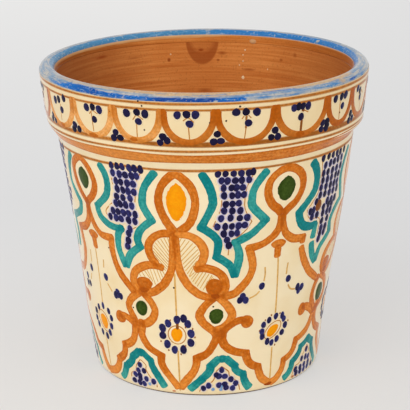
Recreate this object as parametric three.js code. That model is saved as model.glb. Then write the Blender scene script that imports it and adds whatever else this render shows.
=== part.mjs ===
// Garden pot of tin-glazed terracotta: a clay floor, a thrown conical wall and a heavy collar joined on top,
// coated with glaze outside and over the lip, with banded lines of thick colour round the collar.
// Millimetres, +Z up. The origin is the centre of the foot, on the surface that the pot stands on.
import * as THREE from 'three';

// Outside heights, stacked from the foot up
const WALL_HEIGHT = 218.5;
const SHOULDER_HEIGHT = 18;
const COLLAR_HEIGHT = 44;
const LIP_RISE = 7.5;

// Outside radius of the foot, then how far each stretch above it spreads
const FOOT_RADIUS = 105.8;
const WALL_FLARE = 29.7;
const SHOULDER_OVERHANG = 9.5;
const COLLAR_FLARE = 5;

// Clay body
const LIP_WIDTH = 14;
const WALL_THICKNESS_AT_FLOOR = 12;
const FLOOR_THICKNESS = 14;
const FOOT_CHAMFER = 1;
const DRAIN_DIAMETER = 28;

// Glaze coats, with the hairline that is left between a coat and what it covers
const GLAZE_THICKNESS = 0.6;
const BARE_FOOT_HEIGHT = 1.5;
const LIP_LAP_INSIDE = 5;
const COAT_GAP = 0.05;

// Banded lines: how far they stand proud, their widths, and how far each lies from the nearest edge
const LINE_THICKNESS = 0.3;
const WALL_LINE_WIDTH = 1.2;
const WALL_LINE_DROP = 0.4;
const EDGE_LINE_WIDTH = 1.2;
const EDGE_LINE_RISE = 1.3;
const BASE_BAND_WIDTH = 4;
const BASE_BAND_RISE = 5.6;
const TOP_LINE_WIDTH = 1.4;
const TOP_LINE_DROP = 5;
const LIP_LINE_WIDTH = 2;
const LIP_LINE_DROP = 0.3;

// Facets: round the axis, up the shoulder and over the lip
const TURN_FACETS = 64;
const SHOULDER_FACETS = 5;
const LIP_FACETS = 8;

// Heights and radii that follow from the driving sizes
const shoulderTop = WALL_HEIGHT + SHOULDER_HEIGHT;
const collarTop = shoulderTop + COLLAR_HEIGHT;
const shoulderRadius = FOOT_RADIUS + WALL_FLARE;
const collarRadius = shoulderRadius + SHOULDER_OVERHANG;
const rimRadius = collarRadius + COLLAR_FLARE;
const mouthRadius = rimRadius - LIP_WIDTH;
const lipRadius = rimRadius - LIP_WIDTH / 2;
const clayInset = GLAZE_THICKNESS + COAT_GAP;

const { lerp, smoothstep } = THREE.MathUtils;
const point = (radius, height) => new THREE.Vector2(radius, height);

// Radius of the glazed outside: a straight wall, a shoulder that is half straight bevel and half S-curve,
// and a straight collar
function outsideRadius(height) {
  if (height <= WALL_HEIGHT) return lerp(FOOT_RADIUS, shoulderRadius, height / WALL_HEIGHT);
  if (height >= shoulderTop) return lerp(collarRadius, rimRadius, (height - shoulderTop) / COLLAR_HEIGHT);
  const climb = (height - WALL_HEIGHT) / SHOULDER_HEIGHT;
  return shoulderRadius + SHOULDER_OVERHANG * (climb + smoothstep(climb, 0, 1)) / 2;
}

// Radius of the bare clay inside: one straight cone from the floor to the lip
function insideRadius(height) {
  const floorRadius = outsideRadius(FLOOR_THICKNESS) - WALL_THICKNESS_AT_FLOOR;
  const climb = (height - FLOOR_THICKNESS) / (collarTop - FLOOR_THICKNESS);
  return lerp(floorRadius, mouthRadius + clayInset, climb);
}

// Lip section: half an ellipse from the rim over the crest to the mouth, drawn in by an inset
function lipCurve(inset) {
  const halfWidth = LIP_WIDTH / 2 - inset;
  const rise = LIP_RISE - inset;
  const lip = new THREE.EllipseCurve(lipRadius, collarTop, halfWidth, rise, 0, Math.PI);
  return lip.getPoints(LIP_FACETS);
}

const shoulderHeights = Array.from(
  { length: SHOULDER_FACETS + 1 },
  (_, step) => WALL_HEIGHT + SHOULDER_HEIGHT * step / SHOULDER_FACETS,
);

// Section of a layer on the outside of the pot, between two offsets from the glazed face
function outsideLayer(heights, innerOffset, outerOffset) {
  const face = heights.map((height) => point(outsideRadius(height) + outerOffset, height));
  const back = heights.map((height) => point(outsideRadius(height) + innerOffset, height));
  return [...face, ...back.reverse()];
}

// One piece turned from a closed section, with its axis along +Z
function turned(name, section, material) {
  const geometry = new THREE.LatheGeometry([...section, section[0]], TURN_FACETS);
  geometry.rotateX(Math.PI / 2);
  const piece = new THREE.Mesh(geometry, material);
  piece.name = name;
  return piece;
}

const terracotta = new THREE.MeshStandardMaterial({ color: '#b4683a', roughness: 0.9, metalness: 0 });
const creamGlaze = new THREE.MeshStandardMaterial({ color: '#f0dfbd', roughness: 0.2, metalness: 0 });
const ochreGlaze = new THREE.MeshStandardMaterial({ color: '#cc7830', roughness: 0.25, metalness: 0 });
const blueGlaze = new THREE.MeshStandardMaterial({ color: '#3f6ea8', roughness: 0.25, metalness: 0 });
const brownLine = new THREE.MeshStandardMaterial({ color: '#b9702c', roughness: 0.3, metalness: 0 });

// Clay body: the floor with its drain hole, the wall standing on it, and the collar joined on the wall
const clay = new THREE.Group();
const drainRadius = DRAIN_DIAMETER / 2;
const footRadius = outsideRadius(0) - clayInset - FOOT_CHAMFER;
clay.add(turned('floor_slab', [
  point(drainRadius, 0),
  point(footRadius, 0),
  point(outsideRadius(FOOT_CHAMFER) - clayInset, FOOT_CHAMFER),
  point(outsideRadius(FLOOR_THICKNESS) - clayInset, FLOOR_THICKNESS),
  point(drainRadius, FLOOR_THICKNESS),
], terracotta));
clay.add(turned('thrown_wall', [
  point(insideRadius(FLOOR_THICKNESS), FLOOR_THICKNESS),
  point(outsideRadius(FLOOR_THICKNESS) - clayInset, FLOOR_THICKNESS),
  point(outsideRadius(WALL_HEIGHT) - clayInset, WALL_HEIGHT),
  point(insideRadius(WALL_HEIGHT), WALL_HEIGHT),
], terracotta));
clay.add(turned('rim_collar', [
  point(insideRadius(WALL_HEIGHT), WALL_HEIGHT),
  ...shoulderHeights.map((height) => point(outsideRadius(height) - clayInset, height)),
  ...lipCurve(clayInset),
], terracotta));

// Glaze coats on the wall, the shoulder, the collar and the lip
const glaze = new THREE.Group();
glaze.add(turned('wall_glaze', outsideLayer([BARE_FOOT_HEIGHT, WALL_HEIGHT], -GLAZE_THICKNESS, 0), creamGlaze));
glaze.add(turned('shoulder_glaze', outsideLayer(shoulderHeights, -GLAZE_THICKNESS, 0), ochreGlaze));
glaze.add(turned('collar_glaze', outsideLayer([shoulderTop, collarTop], -GLAZE_THICKNESS, 0), creamGlaze));
const lapHeight = collarTop - LIP_LAP_INSIDE;
glaze.add(turned('lip_glaze', [
  ...lipCurve(0),
  point(insideRadius(lapHeight) - clayInset, lapHeight),
  point(insideRadius(lapHeight) - COAT_GAP, lapHeight),
  ...lipCurve(GLAZE_THICKNESS).reverse(),
], blueGlaze));

// Banded lines, laid on the glaze while the pot turns on the wheel
const lines = new THREE.Group();
function bandedLine(name, bottom, width) {
  const heights = [bottom, bottom + width];
  lines.add(turned(name, outsideLayer(heights, COAT_GAP, COAT_GAP + LINE_THICKNESS), brownLine));
}
bandedLine('wall_top_line', WALL_HEIGHT - WALL_LINE_DROP - WALL_LINE_WIDTH, WALL_LINE_WIDTH);
bandedLine('collar_edge_line', shoulderTop + EDGE_LINE_RISE, EDGE_LINE_WIDTH);
bandedLine('collar_base_band', shoulderTop + BASE_BAND_RISE, BASE_BAND_WIDTH);
bandedLine('collar_top_line', collarTop - TOP_LINE_DROP - TOP_LINE_WIDTH, TOP_LINE_WIDTH);
bandedLine('lip_line', collarTop - LIP_LINE_DROP - LIP_LINE_WIDTH, LIP_LINE_WIDTH);

const gardenPot = new THREE.Group();
gardenPot.name = 'garden_pot';
gardenPot.add(clay, glaze, lines);

export default gardenPot;
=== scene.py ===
# Garden pot of hand-thrown terracotta, tin-glazed cream outside and painted in ochre, turquoise and cobalt.
# Shapes are worked out in millimetres and written to the meshes in metres. +Z is up and -Y is the front.
import math

import bpy
import numpy as np
from mathutils import Matrix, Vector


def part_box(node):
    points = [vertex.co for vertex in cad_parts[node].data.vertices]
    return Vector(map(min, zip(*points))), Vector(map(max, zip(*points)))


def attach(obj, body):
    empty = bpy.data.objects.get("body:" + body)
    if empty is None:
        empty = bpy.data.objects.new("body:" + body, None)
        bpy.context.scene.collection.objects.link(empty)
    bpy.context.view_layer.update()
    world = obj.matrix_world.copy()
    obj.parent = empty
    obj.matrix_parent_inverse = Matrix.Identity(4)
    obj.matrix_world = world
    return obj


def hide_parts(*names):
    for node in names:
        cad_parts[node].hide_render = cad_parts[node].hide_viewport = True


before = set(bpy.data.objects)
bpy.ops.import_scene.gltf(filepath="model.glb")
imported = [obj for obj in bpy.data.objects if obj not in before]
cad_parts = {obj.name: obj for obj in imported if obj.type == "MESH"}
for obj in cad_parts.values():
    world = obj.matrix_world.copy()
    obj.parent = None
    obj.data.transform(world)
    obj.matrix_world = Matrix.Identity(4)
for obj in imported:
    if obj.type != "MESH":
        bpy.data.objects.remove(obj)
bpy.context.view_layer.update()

# Clay body
# Red earthenware, thrown on a wheel and fired: floor, conical wall and heavy collar are one piece of clay.
# It stays bare inside, where wet fingers left rings, and on the foot, which has a drain hole.
MM = 0.001
TURN_STEPS = 256
WALL_AT_FLOOR = 12.0
LIP_WIDTH = 14.0
DRAIN_RADIUS = 14.0
DRAIN_ROUNDING = 1.5
FOOT_CHAMFER = 1.0
FLOOR_FILLET = 9.0
RING_PITCH = 6.0
RING_DEPTH = 0.1
RING_FADE = 12.0
LAP_INSIDE = 5.0
# Painted contact shadow round the foot: how far in from its edge it reaches, and over how many mm it fades
FOOT_SHADOW_WIDTH = 14.0
FOOT_SHADOW_FADE = 10.0
STAIN_DEPTH = 60.0
# How a thrown wall strays, in mm: how far its middle sways and at which heights, how far and where it is
# drawn in, the slow waves round it, and the trace of the finger rings outside
SWAY = 0.9
SWAY_LEVEL = 96.5
SWAY_RISE = 40.0
SWAY_START = 50.0
WAIST = 0.7
WAIST_LEVEL = 86.5
WAIST_RISE = 60.0
TWO_WAVES = 0.2
THREE_WAVES = 0.15
WAVE_RISE = 55.0
RING_TRACE = 0.04
# How far the lip sinks, in mm: all round, more in front, and most about a turn on the left
SAG = 0.1
SAG_IN_FRONT = 0.15
SAG_ON_LEFT = 1.5
SAG_TURN = math.radians(-112)
SAG_FOCUS = 2.5
# How deep the thumb pressed the shoulder in, in mm, and how much deeper on the right
THUMB_HOLLOW = 0.8
RIGHT_HOLLOW = 3.2


def top_corner(node):
    """Highest corner of a solid's box, in mm: its radius twice, then the height of its top."""
    return np.array(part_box(node)[1]) / MM


floor_radius, _, floor_top = top_corner("floor_slab")
wall_radius, _, wall_top = top_corner("wall_glaze")
edge_radius, _, shoulder_top = top_corner("shoulder_glaze")
rim_radius, _, collar_top = top_corner("collar_glaze")
crest = top_corner("lip_glaze")[2]
coat = rim_radius - top_corner("rim_collar")[0]
lip_centre = rim_radius - LIP_WIDTH / 2


def soft_step(value, start, end):
    """Smooth rise from 0 at the start to 1 at the end: thrice the square of the share less twice its cube."""
    share = np.clip((value - start) / (end - start), 0, 1)
    return share * share * (3 - 2 * share)


def outside_radius(height):
    """Glazed outside: a straight wall, a shoulder half bevel and half S-curve, and a straight collar."""
    flare = (wall_radius - floor_radius - coat) / (wall_top - floor_top)
    wall = wall_radius + flare * (np.minimum(height, wall_top) - wall_top)
    climb = np.clip((height - wall_top) / (shoulder_top - wall_top), 0, 1)
    shoulder = (edge_radius - wall_radius) * (climb + climb**2 * (3 - 2 * climb)) / 2
    rise = np.clip((height - shoulder_top) / (collar_top - shoulder_top), 0, 1)
    return wall + shoulder + (rim_radius - edge_radius) * rise


def inside_radius(height):
    """Bare inside: one straight cone from the floor to the lip."""
    at_floor = outside_radius(floor_top) - WALL_AT_FLOOR
    at_lip = rim_radius - LIP_WIDTH + coat
    return at_floor + (at_lip - at_floor) * (height - floor_top) / (collar_top - floor_top)


def hand_drift(turn, height):
    """How far the thrown wall strays from true, in mm: its middle sways left and right in a sine of the
    height, a bell curve draws the lower half in, two and three slow waves go to a turn, and the fingers
    left faint spiral rings."""
    sway = SWAY * np.sin((height - SWAY_LEVEL) / SWAY_RISE) * np.clip(height / SWAY_START, 0, 1)
    waist = -WAIST * np.exp(-(((height - WAIST_LEVEL) / WAIST_RISE) ** 2))
    waves = TWO_WAVES * np.sin(2 * turn + 0.8) + THREE_WAVES * np.sin(3 * turn - height / WAVE_RISE)
    rings = RING_TRACE * np.sin(math.tau * height / RING_PITCH - turn)
    return sway * np.sin(turn) + waist + waves + rings


def lip_sag(turn, height):
    """How far the lip sinks below true, in mm, in full on its crest: a little all round, most on the left."""
    left = np.exp(SAG_FOCUS * (np.cos(turn - SAG_TURN) - 1))
    depth = SAG + SAG_IN_FRONT * np.cos(turn) + SAG_ON_LEFT * left
    return depth * np.clip((height - collar_top) / (crest - collar_top), 0, 1)


def shoulder_hollow(turn, height):
    """How far the thumb pressed the shoulder in, in mm: most halfway up it, and more on the right."""
    climb = np.clip((height - wall_top) / (shoulder_top - wall_top), 0, 1)
    depth = THUMB_HOLLOW + RIGHT_HOLLOW * soft_step(np.sin(turn), 0.5, 1.0)
    return np.sin(math.pi * climb) ** 2 * depth


def place(turn, height, radius):
    """Point at a radius and a height, turned from the front (-Y) towards +X."""
    return np.stack(np.broadcast_arrays(radius * np.sin(turn), -radius * np.cos(turn), height), axis=-1)


def turned(radius, height, relief=0.0, steps=TURN_STEPS):
    """Rings of a turned section: each of its points goes round the axis, with the drift, the sag of the lip,
    a relief and, on the outside, the hollow of the shoulder."""
    turn = np.linspace(0, math.tau, steps, endpoint=False)
    height = height[:, None]
    radius = radius[:, None]
    outside = radius > outside_radius(height) - WALL_AT_FLOOR / 2
    strayed = radius + hand_drift(turn, height) - outside * shoulder_hollow(turn, height) + relief
    return place(turn, height - lip_sag(turn, height), strayed)


def add_piece(name, stacks, looped, material, nodes=(), layers=None):
    """One object from stacks of closed rings, each an array of rings x points x 3 in mm. Quads join each ring
    to the next, and the last to the first where the stack is looped. One face shuts each end where it isn't.
    Layers give one number per point, for the material to read."""
    quads = []
    caps = []
    start = 0
    for rings in stacks:
        rows, columns = rings.shape[:2]
        index = start + np.arange(rows * columns).reshape(rows, columns)
        start += rows * columns
        near = index if looped else index[:-1]
        far = np.roll(index, -1, axis=0) if looped else index[1:]
        sides = np.stack([near, np.roll(near, -1, axis=1), np.roll(far, -1, axis=1), far], axis=-1)
        quads.append(sides.reshape(-1, 4))
        if not looped:
            caps += [index[0, ::-1].tolist(), index[-1].tolist()]
    points = np.concatenate([rings.reshape(-1, 3) for rings in stacks]) * MM
    mesh = bpy.data.meshes.new(name)
    mesh.from_pydata(points.tolist(), [], np.concatenate(quads).tolist() + caps)
    for key, numbers in (layers or {}).items():
        flat = np.concatenate([np.ravel(part) for part in numbers])
        mesh.attributes.new(key, "FLOAT", "POINT").data.foreach_set("value", flat.astype(np.float32))
    mesh.shade_smooth()
    mesh.materials.append(material)
    piece = bpy.data.objects.new(name, mesh)
    bpy.context.collection.objects.link(piece)
    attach(piece, "root")
    if nodes:
        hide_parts(*nodes)


def linear(code):
    """Linear colour of an sRGB hex code, by the sRGB curve."""
    srgb = np.array([int(code[start:start + 2], 16) for start in (1, 3, 5)]) / 255
    rgb = np.where(srgb <= 0.04045, srgb / 12.92, ((srgb + 0.055) / 1.055) ** 2.4)
    return (*rgb.tolist(), 1.0)


def new_material(name):
    """Node material without any nodes yet."""
    material = bpy.data.materials.new(name)
    material.use_nodes = True
    material.node_tree.nodes.clear()
    return material


def add_node(owner, kind, values=None, out=0, **settings):
    """Adds a shader node and gives one of its outputs. Settings are its properties. Values fill its inputs:
    constants, or outputs of other nodes."""
    tree = owner.node_tree
    node = tree.nodes.new("ShaderNode" + kind)
    for key, setting in settings.items():
        setattr(node, key, setting)
    for key, value in (values or {}).items():
        if isinstance(value, bpy.types.NodeSocket):
            tree.links.new(value, node.inputs[key])
        else:
            node.inputs[key].default_value = value
    return node.outputs[out] if node.outputs else None


def blend(material, share, first, second, start=0.0, end=1.0, most=1.0):
    """Output with a first colour that goes over to a second, up to a most, as a share goes from a start to
    an end."""
    amount = add_node(material, "MapRange", {
        "Value": share, "From Min": start, "From Max": end, "To Max": most,
    })
    colours = {6: first, 7: second}
    for key, colour in colours.items():
        colours[key] = linear(colour) if isinstance(colour, str) else colour
    return add_node(material, "Mix", {0: amount, **colours}, 2, data_type="RGBA")


def terracotta_colour(material):
    """Colour of the bare clay and the height of its surface: orange earth, streaked along the throwing
    rings about every 2 mm, browner in blotches of some centimetres, speckled with grog of one or two
    millimetres, darker towards the left and the right, which is painted shade on the side walls inside,
    and almost black round the outer edge of the foot, which is a painted contact shadow."""
    spot = add_node(material, "TexCoord", out="Object")
    streak_grid = add_node(material, "Mapping", {
        "Vector": spot, "Scale": (1 / (70 * MM), 1 / (70 * MM), 1 / (1.9 * MM)),
    })
    streak = add_node(material, "TexNoise", {"Vector": streak_grid, "Scale": 1.0, "Detail": 4.0})
    blotch = add_node(material, "TexNoise", {"Vector": spot, "Scale": 1 / (38 * MM), "Detail": 3.0})
    grog = add_node(material, "TexNoise", {"Vector": spot, "Scale": 1 / (1.6 * MM), "Detail": 2.0})
    streaked = blend(material, streak, "#C56E2A", "#E8994E", 0.24, 0.76)
    blotched = blend(material, blotch, streaked, "#C46C28", 0.42, 0.75, 0.5)
    speckled = blend(material, grog, blotched, "#97501F", 0.56, 0.76, 0.45)
    across = add_node(material, "SeparateXYZ", {"Vector": spot}, "X")
    # Painted shade: the clay darkens towards the left and the right, where the side walls inside lie in
    # shade.
    painted_shade_left = blend(material, across, speckled, "#7C421C", -50 * MM, -125 * MM, 0.6)
    painted_shade_sides = blend(material, across, painted_shade_left, "#8A4A1C", 60 * MM, 130 * MM, 0.55)
    rise = add_node(material, "SeparateXYZ", {"Vector": spot}, "Z")
    # Painted contact shadow: almost black where the foot meets the floor, on its lowest two millimetres near
    # its outer edge.
    low = add_node(material, "MapRange", {"Value": rise, "From Min": 2.2 * MM, "From Max": 1.2 * MM})
    from_middle = add_node(material, "VectorMath", {0: spot}, "Value", operation="LENGTH")
    at_edge = add_node(material, "MapRange", {
        "Value": from_middle,
        "From Min": (floor_radius - FOOT_SHADOW_WIDTH) * MM,
        "From Max": (floor_radius - FOOT_SHADOW_WIDTH + FOOT_SHADOW_FADE) * MM,
    })
    foot_shadow_share = add_node(material, "Math", {0: low, 1: at_edge}, operation="MULTIPLY")
    painted_foot_shadow = blend(material, foot_shadow_share, painted_shade_sides, "#2A1A10", 0.0, 1.0, 0.85)
    surface = add_node(material, "Math", {0: streak, 1: grog})
    return painted_foot_shadow, surface


def soaked(material, x, height, wide, tall, inner, outer):
    """Share of a stain in the clay at the back of the inside: 1 within an oval of a half width and a half
    height, in mm, and 0 outside it. It fades between an inner and an outer share of that size, and goes
    deep into the wall, so that the curve of the wall doesn't cut it off."""
    size = np.array([wide, STAIN_DEPTH, tall]) * MM
    centre = np.array([x, math.sqrt(inside_radius(height) ** 2 - x * x), height]) * MM
    away = add_node(material, "Mapping", {
        "Vector": add_node(material, "TexCoord", out="Object"),
        "Location": (-centre / size).tolist(),
        "Scale": (1 / size).tolist(),
    })
    length = add_node(material, "VectorMath", {0: away}, "Value", operation="LENGTH")
    return add_node(material, "MapRange", {
        "Value": length, "From Min": inner, "From Max": outer, "To Min": 1.0, "To Max": 0.0,
    })


# Water stains inside the back: place across and up, half width, half height, both edges, and strength
STAINS = [
    (-2.5, 278.5, 16.6, 25.0, 0.95, 1.02, 0.7),
    (-3.7, 268.0, 4.5, 2.4, 0.3, 1.3, 1.3),
    (-2.5, 273.5, 13.0, 2.2, 0.2, 1.3, 0.5),
    (-35.6, 259.2, 2.0, 2.2, 0.4, 1.1, 0.9),
    (17.2, 264.9, 4.6, 2.2, 0.2, 1.2, 0.7),
    (13.2, 258.0, 1.6, 1.4, 0.3, 1.2, 0.8),
    (43.8, 249.8, 7.0, 1.5, 0.2, 1.2, 0.7),
    (0.0, 228.0, 8.0, 2.5, 0.2, 1.2, 0.6),
    (-100.0, 270.0, 5.0, 1.6, 0.3, 1.3, 0.8),
    (-70.0, 264.0, 9.0, 1.2, 0.2, 1.2, 0.45),
    (75.0, 262.0, 1.6, 1.6, 0.3, 1.2, 0.7),
    (88.0, 268.5, 1.8, 2.4, 0.3, 1.2, 0.6),
]
# Middle of the tide mark, without a strength
DRIED_MIDDLE = (-2.5, 281.5, 13.6, 16.0, 0.8, 1.1)


def thrown_terracotta():
    """Unglazed red earthenware, wiped with wet fingers as it turned: matt, streaked and grainy, with the tide
    mark and the drops that water left under the back lip. The tide mark dried paler in its middle."""
    material = new_material("thrown terracotta")
    colour, surface = terracotta_colour(material)
    wet = 0.0
    for *oval, strength in STAINS:
        mark = add_node(material, "Math", {0: soaked(material, *oval), 1: strength}, operation="MULTIPLY")
        wet = add_node(material, "Math", {0: wet, 1: mark}, operation="MAXIMUM")
    dried = soaked(material, *DRIED_MIDDLE)
    lighter = add_node(material, "Math", {0: dried, 1: 0.45}, operation="MULTIPLY")
    mark = add_node(material, "Math", {0: wet, 1: lighter}, operation="SUBTRACT", use_clamp=True)
    relief = add_node(material, "Bump", {"Strength": 0.4, "Distance": 0.15 * MM, "Height": surface})
    shader = add_node(material, "BsdfPrincipled", {
        "Base Color": blend(material, mark, colour, "#964008"),
        "Roughness": 0.85,
        "IOR": 1.5,
        "Specular IOR Level": 0.2,
        "Normal": relief,
    })
    add_node(material, "OutputMaterial", {"Surface": shader})
    return material


def clay_section():
    """Closed section of the clay, radius and height: under the foot, up the outside under the coat, over
    the lip, down the bare inside, round a fillet, across the floor and down the drain hole. The third row
    says how deep the finger rings are there: full on the bare inside, fading out below the lip."""
    out = np.linspace(FOOT_CHAMFER, collar_top, 60)
    lip = np.linspace(0, math.pi, 14)[1:]
    down = np.linspace(collar_top, floor_top + FLOOR_FILLET, 200)[1:]
    corner = np.linspace(0, math.pi / 2, 8)[1:]
    fillet_radius = inside_radius(floor_top + FLOOR_FILLET) - FLOOR_FILLET
    floor = np.linspace(fillet_radius, DRAIN_RADIUS + DRAIN_ROUNDING, 30)[1:]
    foot = outside_radius(0) - coat - FOOT_CHAMFER
    lap_end = collar_top - LAP_INSIDE
    lip_radius = lip_centre + (LIP_WIDTH / 2 - coat) * np.cos(lip)
    lip_height = collar_top + (crest - collar_top - coat) * np.sin(lip)
    parts = [
        ([DRAIN_RADIUS, DRAIN_RADIUS + DRAIN_ROUNDING, foot - 2, foot], [DRAIN_ROUNDING, 0, 0, 0], 0),
        (outside_radius(out) - coat, out, 0),
        (lip_radius, lip_height, 0),
        (inside_radius(down), down, 1 - soft_step(down, lap_end - RING_FADE, lap_end)),
        (fillet_radius + FLOOR_FILLET * np.cos(corner), floor_top + FLOOR_FILLET * (1 - np.sin(corner)), 1),
        (floor, floor_top, 1),
        ([DRAIN_RADIUS], [floor_top - DRAIN_ROUNDING], 0),
    ]
    return np.concatenate([np.stack(np.broadcast_arrays(*part)) for part in parts], axis=1)


clay_radius, clay_height, ring_share = clay_section()
ring_turn = np.linspace(0, math.tau, TURN_STEPS, endpoint=False)
ring_wave = np.sin(math.tau * (clay_height - clay_radius)[:, None] / RING_PITCH + ring_turn)
ring_swell = 0.6 + 0.4 * np.sin(3 * ring_turn + clay_height[:, None] / 17)
finger_rings = RING_DEPTH * ring_share[:, None] * ring_swell * ring_wave
add_piece(
    "clay_body",
    [turned(clay_radius, clay_height, finger_rings)],
    True,
    thrown_terracotta(),
    ("floor_slab", "thrown_wall", "rim_collar"),
)

# Cream coat
# Opaque tin glaze, poured over the outside and wiped off the foot: one coat over wall, shoulder and collar.
# It is about half a millimetre thick and carries all the brushwork, which melts into it in the second firing.
BARE_FOOT = 1.5
GLAZE_THICKNESS = 0.6
GLAZE_IOR = 1.5
# Film of dust and lime on the glaze, which pales it at a glancing view
BLOOM = 1.0
BLOOM_ROUGHNESS = 0.22


def cream_colour(material):
    """Output with the colour of tin glaze: warm cream, browner where the coat is thin and the clay shows
    through, as in clouds of some centimetres and on the collar."""
    spot = add_node(material, "TexCoord", out="Object")
    cloud = add_node(material, "TexNoise", {"Vector": spot, "Scale": 1 / (30 * MM), "Detail": 4.0})
    cream = blend(material, cloud, "#F9E6BE", "#F3DAA8", 0.4, 0.75)
    height = add_node(material, "SeparateXYZ", {"Vector": spot}, "Z")
    return blend(material, height, cream, "#E9CB94", shoulder_top * MM, (shoulder_top + 8) * MM, 0.45)


def melt(material, colour, roughness, gloss, bloom, swell, depth):
    """Melts a colour to glaze: glossy, pale with bloom at a glancing view, and with low swells of some
    millimetres, as it ran before it froze."""
    spot = add_node(material, "TexCoord", out="Object")
    swells = add_node(material, "TexNoise", {"Vector": spot, "Scale": 1 / (swell * MM), "Detail": 2.0})
    relief = add_node(material, "Bump", {"Strength": 0.6, "Distance": depth * MM, "Height": swells})
    shader = add_node(material, "BsdfPrincipled", {
        "Base Color": colour,
        "Roughness": roughness,
        "IOR": GLAZE_IOR,
        "Specular IOR Level": gloss,
        "Sheen Weight": bloom,
        "Sheen Roughness": BLOOM_ROUGHNESS,
        "Normal": relief,
    })
    add_node(material, "OutputMaterial", {"Surface": shader})
    return material


def tin_glaze():
    """Tin-opacified lead glaze: smooth and glossy like thick cream, with soft swells that break what it
    reflects."""
    material = new_material("cream tin glaze")
    cream = cream_colour(material)
    return melt(material, cream, roughness=0.22, gloss=0.3, bloom=BLOOM, swell=7, depth=0.12)


coat_height = np.concatenate([
    [BARE_FOOT],
    np.linspace(BARE_FOOT + 0.5, wall_top - 2, 80),
    np.linspace(wall_top - 1, shoulder_top + 1, 24),
    np.linspace(shoulder_top + 2, collar_top, 24),
])
coat_face = outside_radius(coat_height)
coat_face[0] -= GLAZE_THICKNESS / 2
add_piece(
    "cream_coat",
    [turned(
        np.concatenate([coat_face, coat_face[::-1] - GLAZE_THICKNESS]),
        np.concatenate([coat_height, coat_height[::-1]]),
    )],
    True,
    tin_glaze(),
    ("wall_glaze", "collar_glaze"),
)

# Lip coat
# Cobalt colour brushed round the lip over the cream glaze, strong on the flanks, worn through on the crest.
# It laps a few millimetres inside, where the glaze thins out in a tan edge on the bare clay.
LIP_STEPS = 40
LIP_TURN_STEPS = 512
LAP_STEPS = 8
LIP_BLOOM = 0.4
LIP_LAYERS = ("blue", "depth", "tan", "lap", "clay", "across")
# Cobalt on the outer flank at turns from the front: how many degrees it reaches over the lip, how full it is
# and how deep its colour
FLANK_COBALT = [
    (-70, 6, 0.2, 0.1), (-62, 30, 0.5, 0.3), (-54, 40, 0.8, 0.55), (-46, 58, 1.0, 0.75), (-39, 46, 1.1, 0.9),
    (-33, 36, 0.85, 0.75), (-20, 34, 0.7, 0.65), (-15, 33, 1.1, 1.0), (2.5, 33, 1.1, 1.0), (4, 32, 1.0, 0.7),
    (12.4, 32, 1.0, 0.7), (13.4, 20, 0.3, 0.3),
]
# Patches of it further right: turn, degrees over the lip, half length, half width, fullness and depth
COBALT_PATCHES = [
    (36, 41, 17, 12, 0.5, 0.2), (47, 34, 6, 22, 0.55, 0.2), (59.5, 28, 3.4, 14, 0.75, 0.8),
    (68, 46, 2.6, 26, 0.4, 0.3),
]
# Spots where it is chipped or rubbed off: turn, degrees over the lip, half length, half width, and share
CHIPS = [
    (3.2, 12, 0.6, 9, 1.0), (9.4, 18, 0.5, 7, 1.0), (127.5, 142, 0.9, 20, 1.0), (182, 130, 6, 60, 0.6),
]
# Spot that a thumb wore to tan, in the same numbers
THUMBED = (53, 46, 2.6, 36, 0.6)
# Degrees round from the front between which the tan ends and the back begins
TAN_ENDS = (56, 66)
BACK_BEGINS = (68, 84)
# Degrees over the lip between which the blue of the outer flank, the haze and the inner band begin, and
# between which the haze ends
FLANK_BEGINS = (2, 8)
HAZE_BEGINS = (6, 20)
HAZE_ENDS = (60, 90)
INNER_BEGINS = (104, 122)
HAZE_FULLNESS = 0.3
# Degrees over the lip where the coat laps the clay, and how many more it goes on the left
LAP_EDGE = 157
LAP_LOWER = 9


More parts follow.
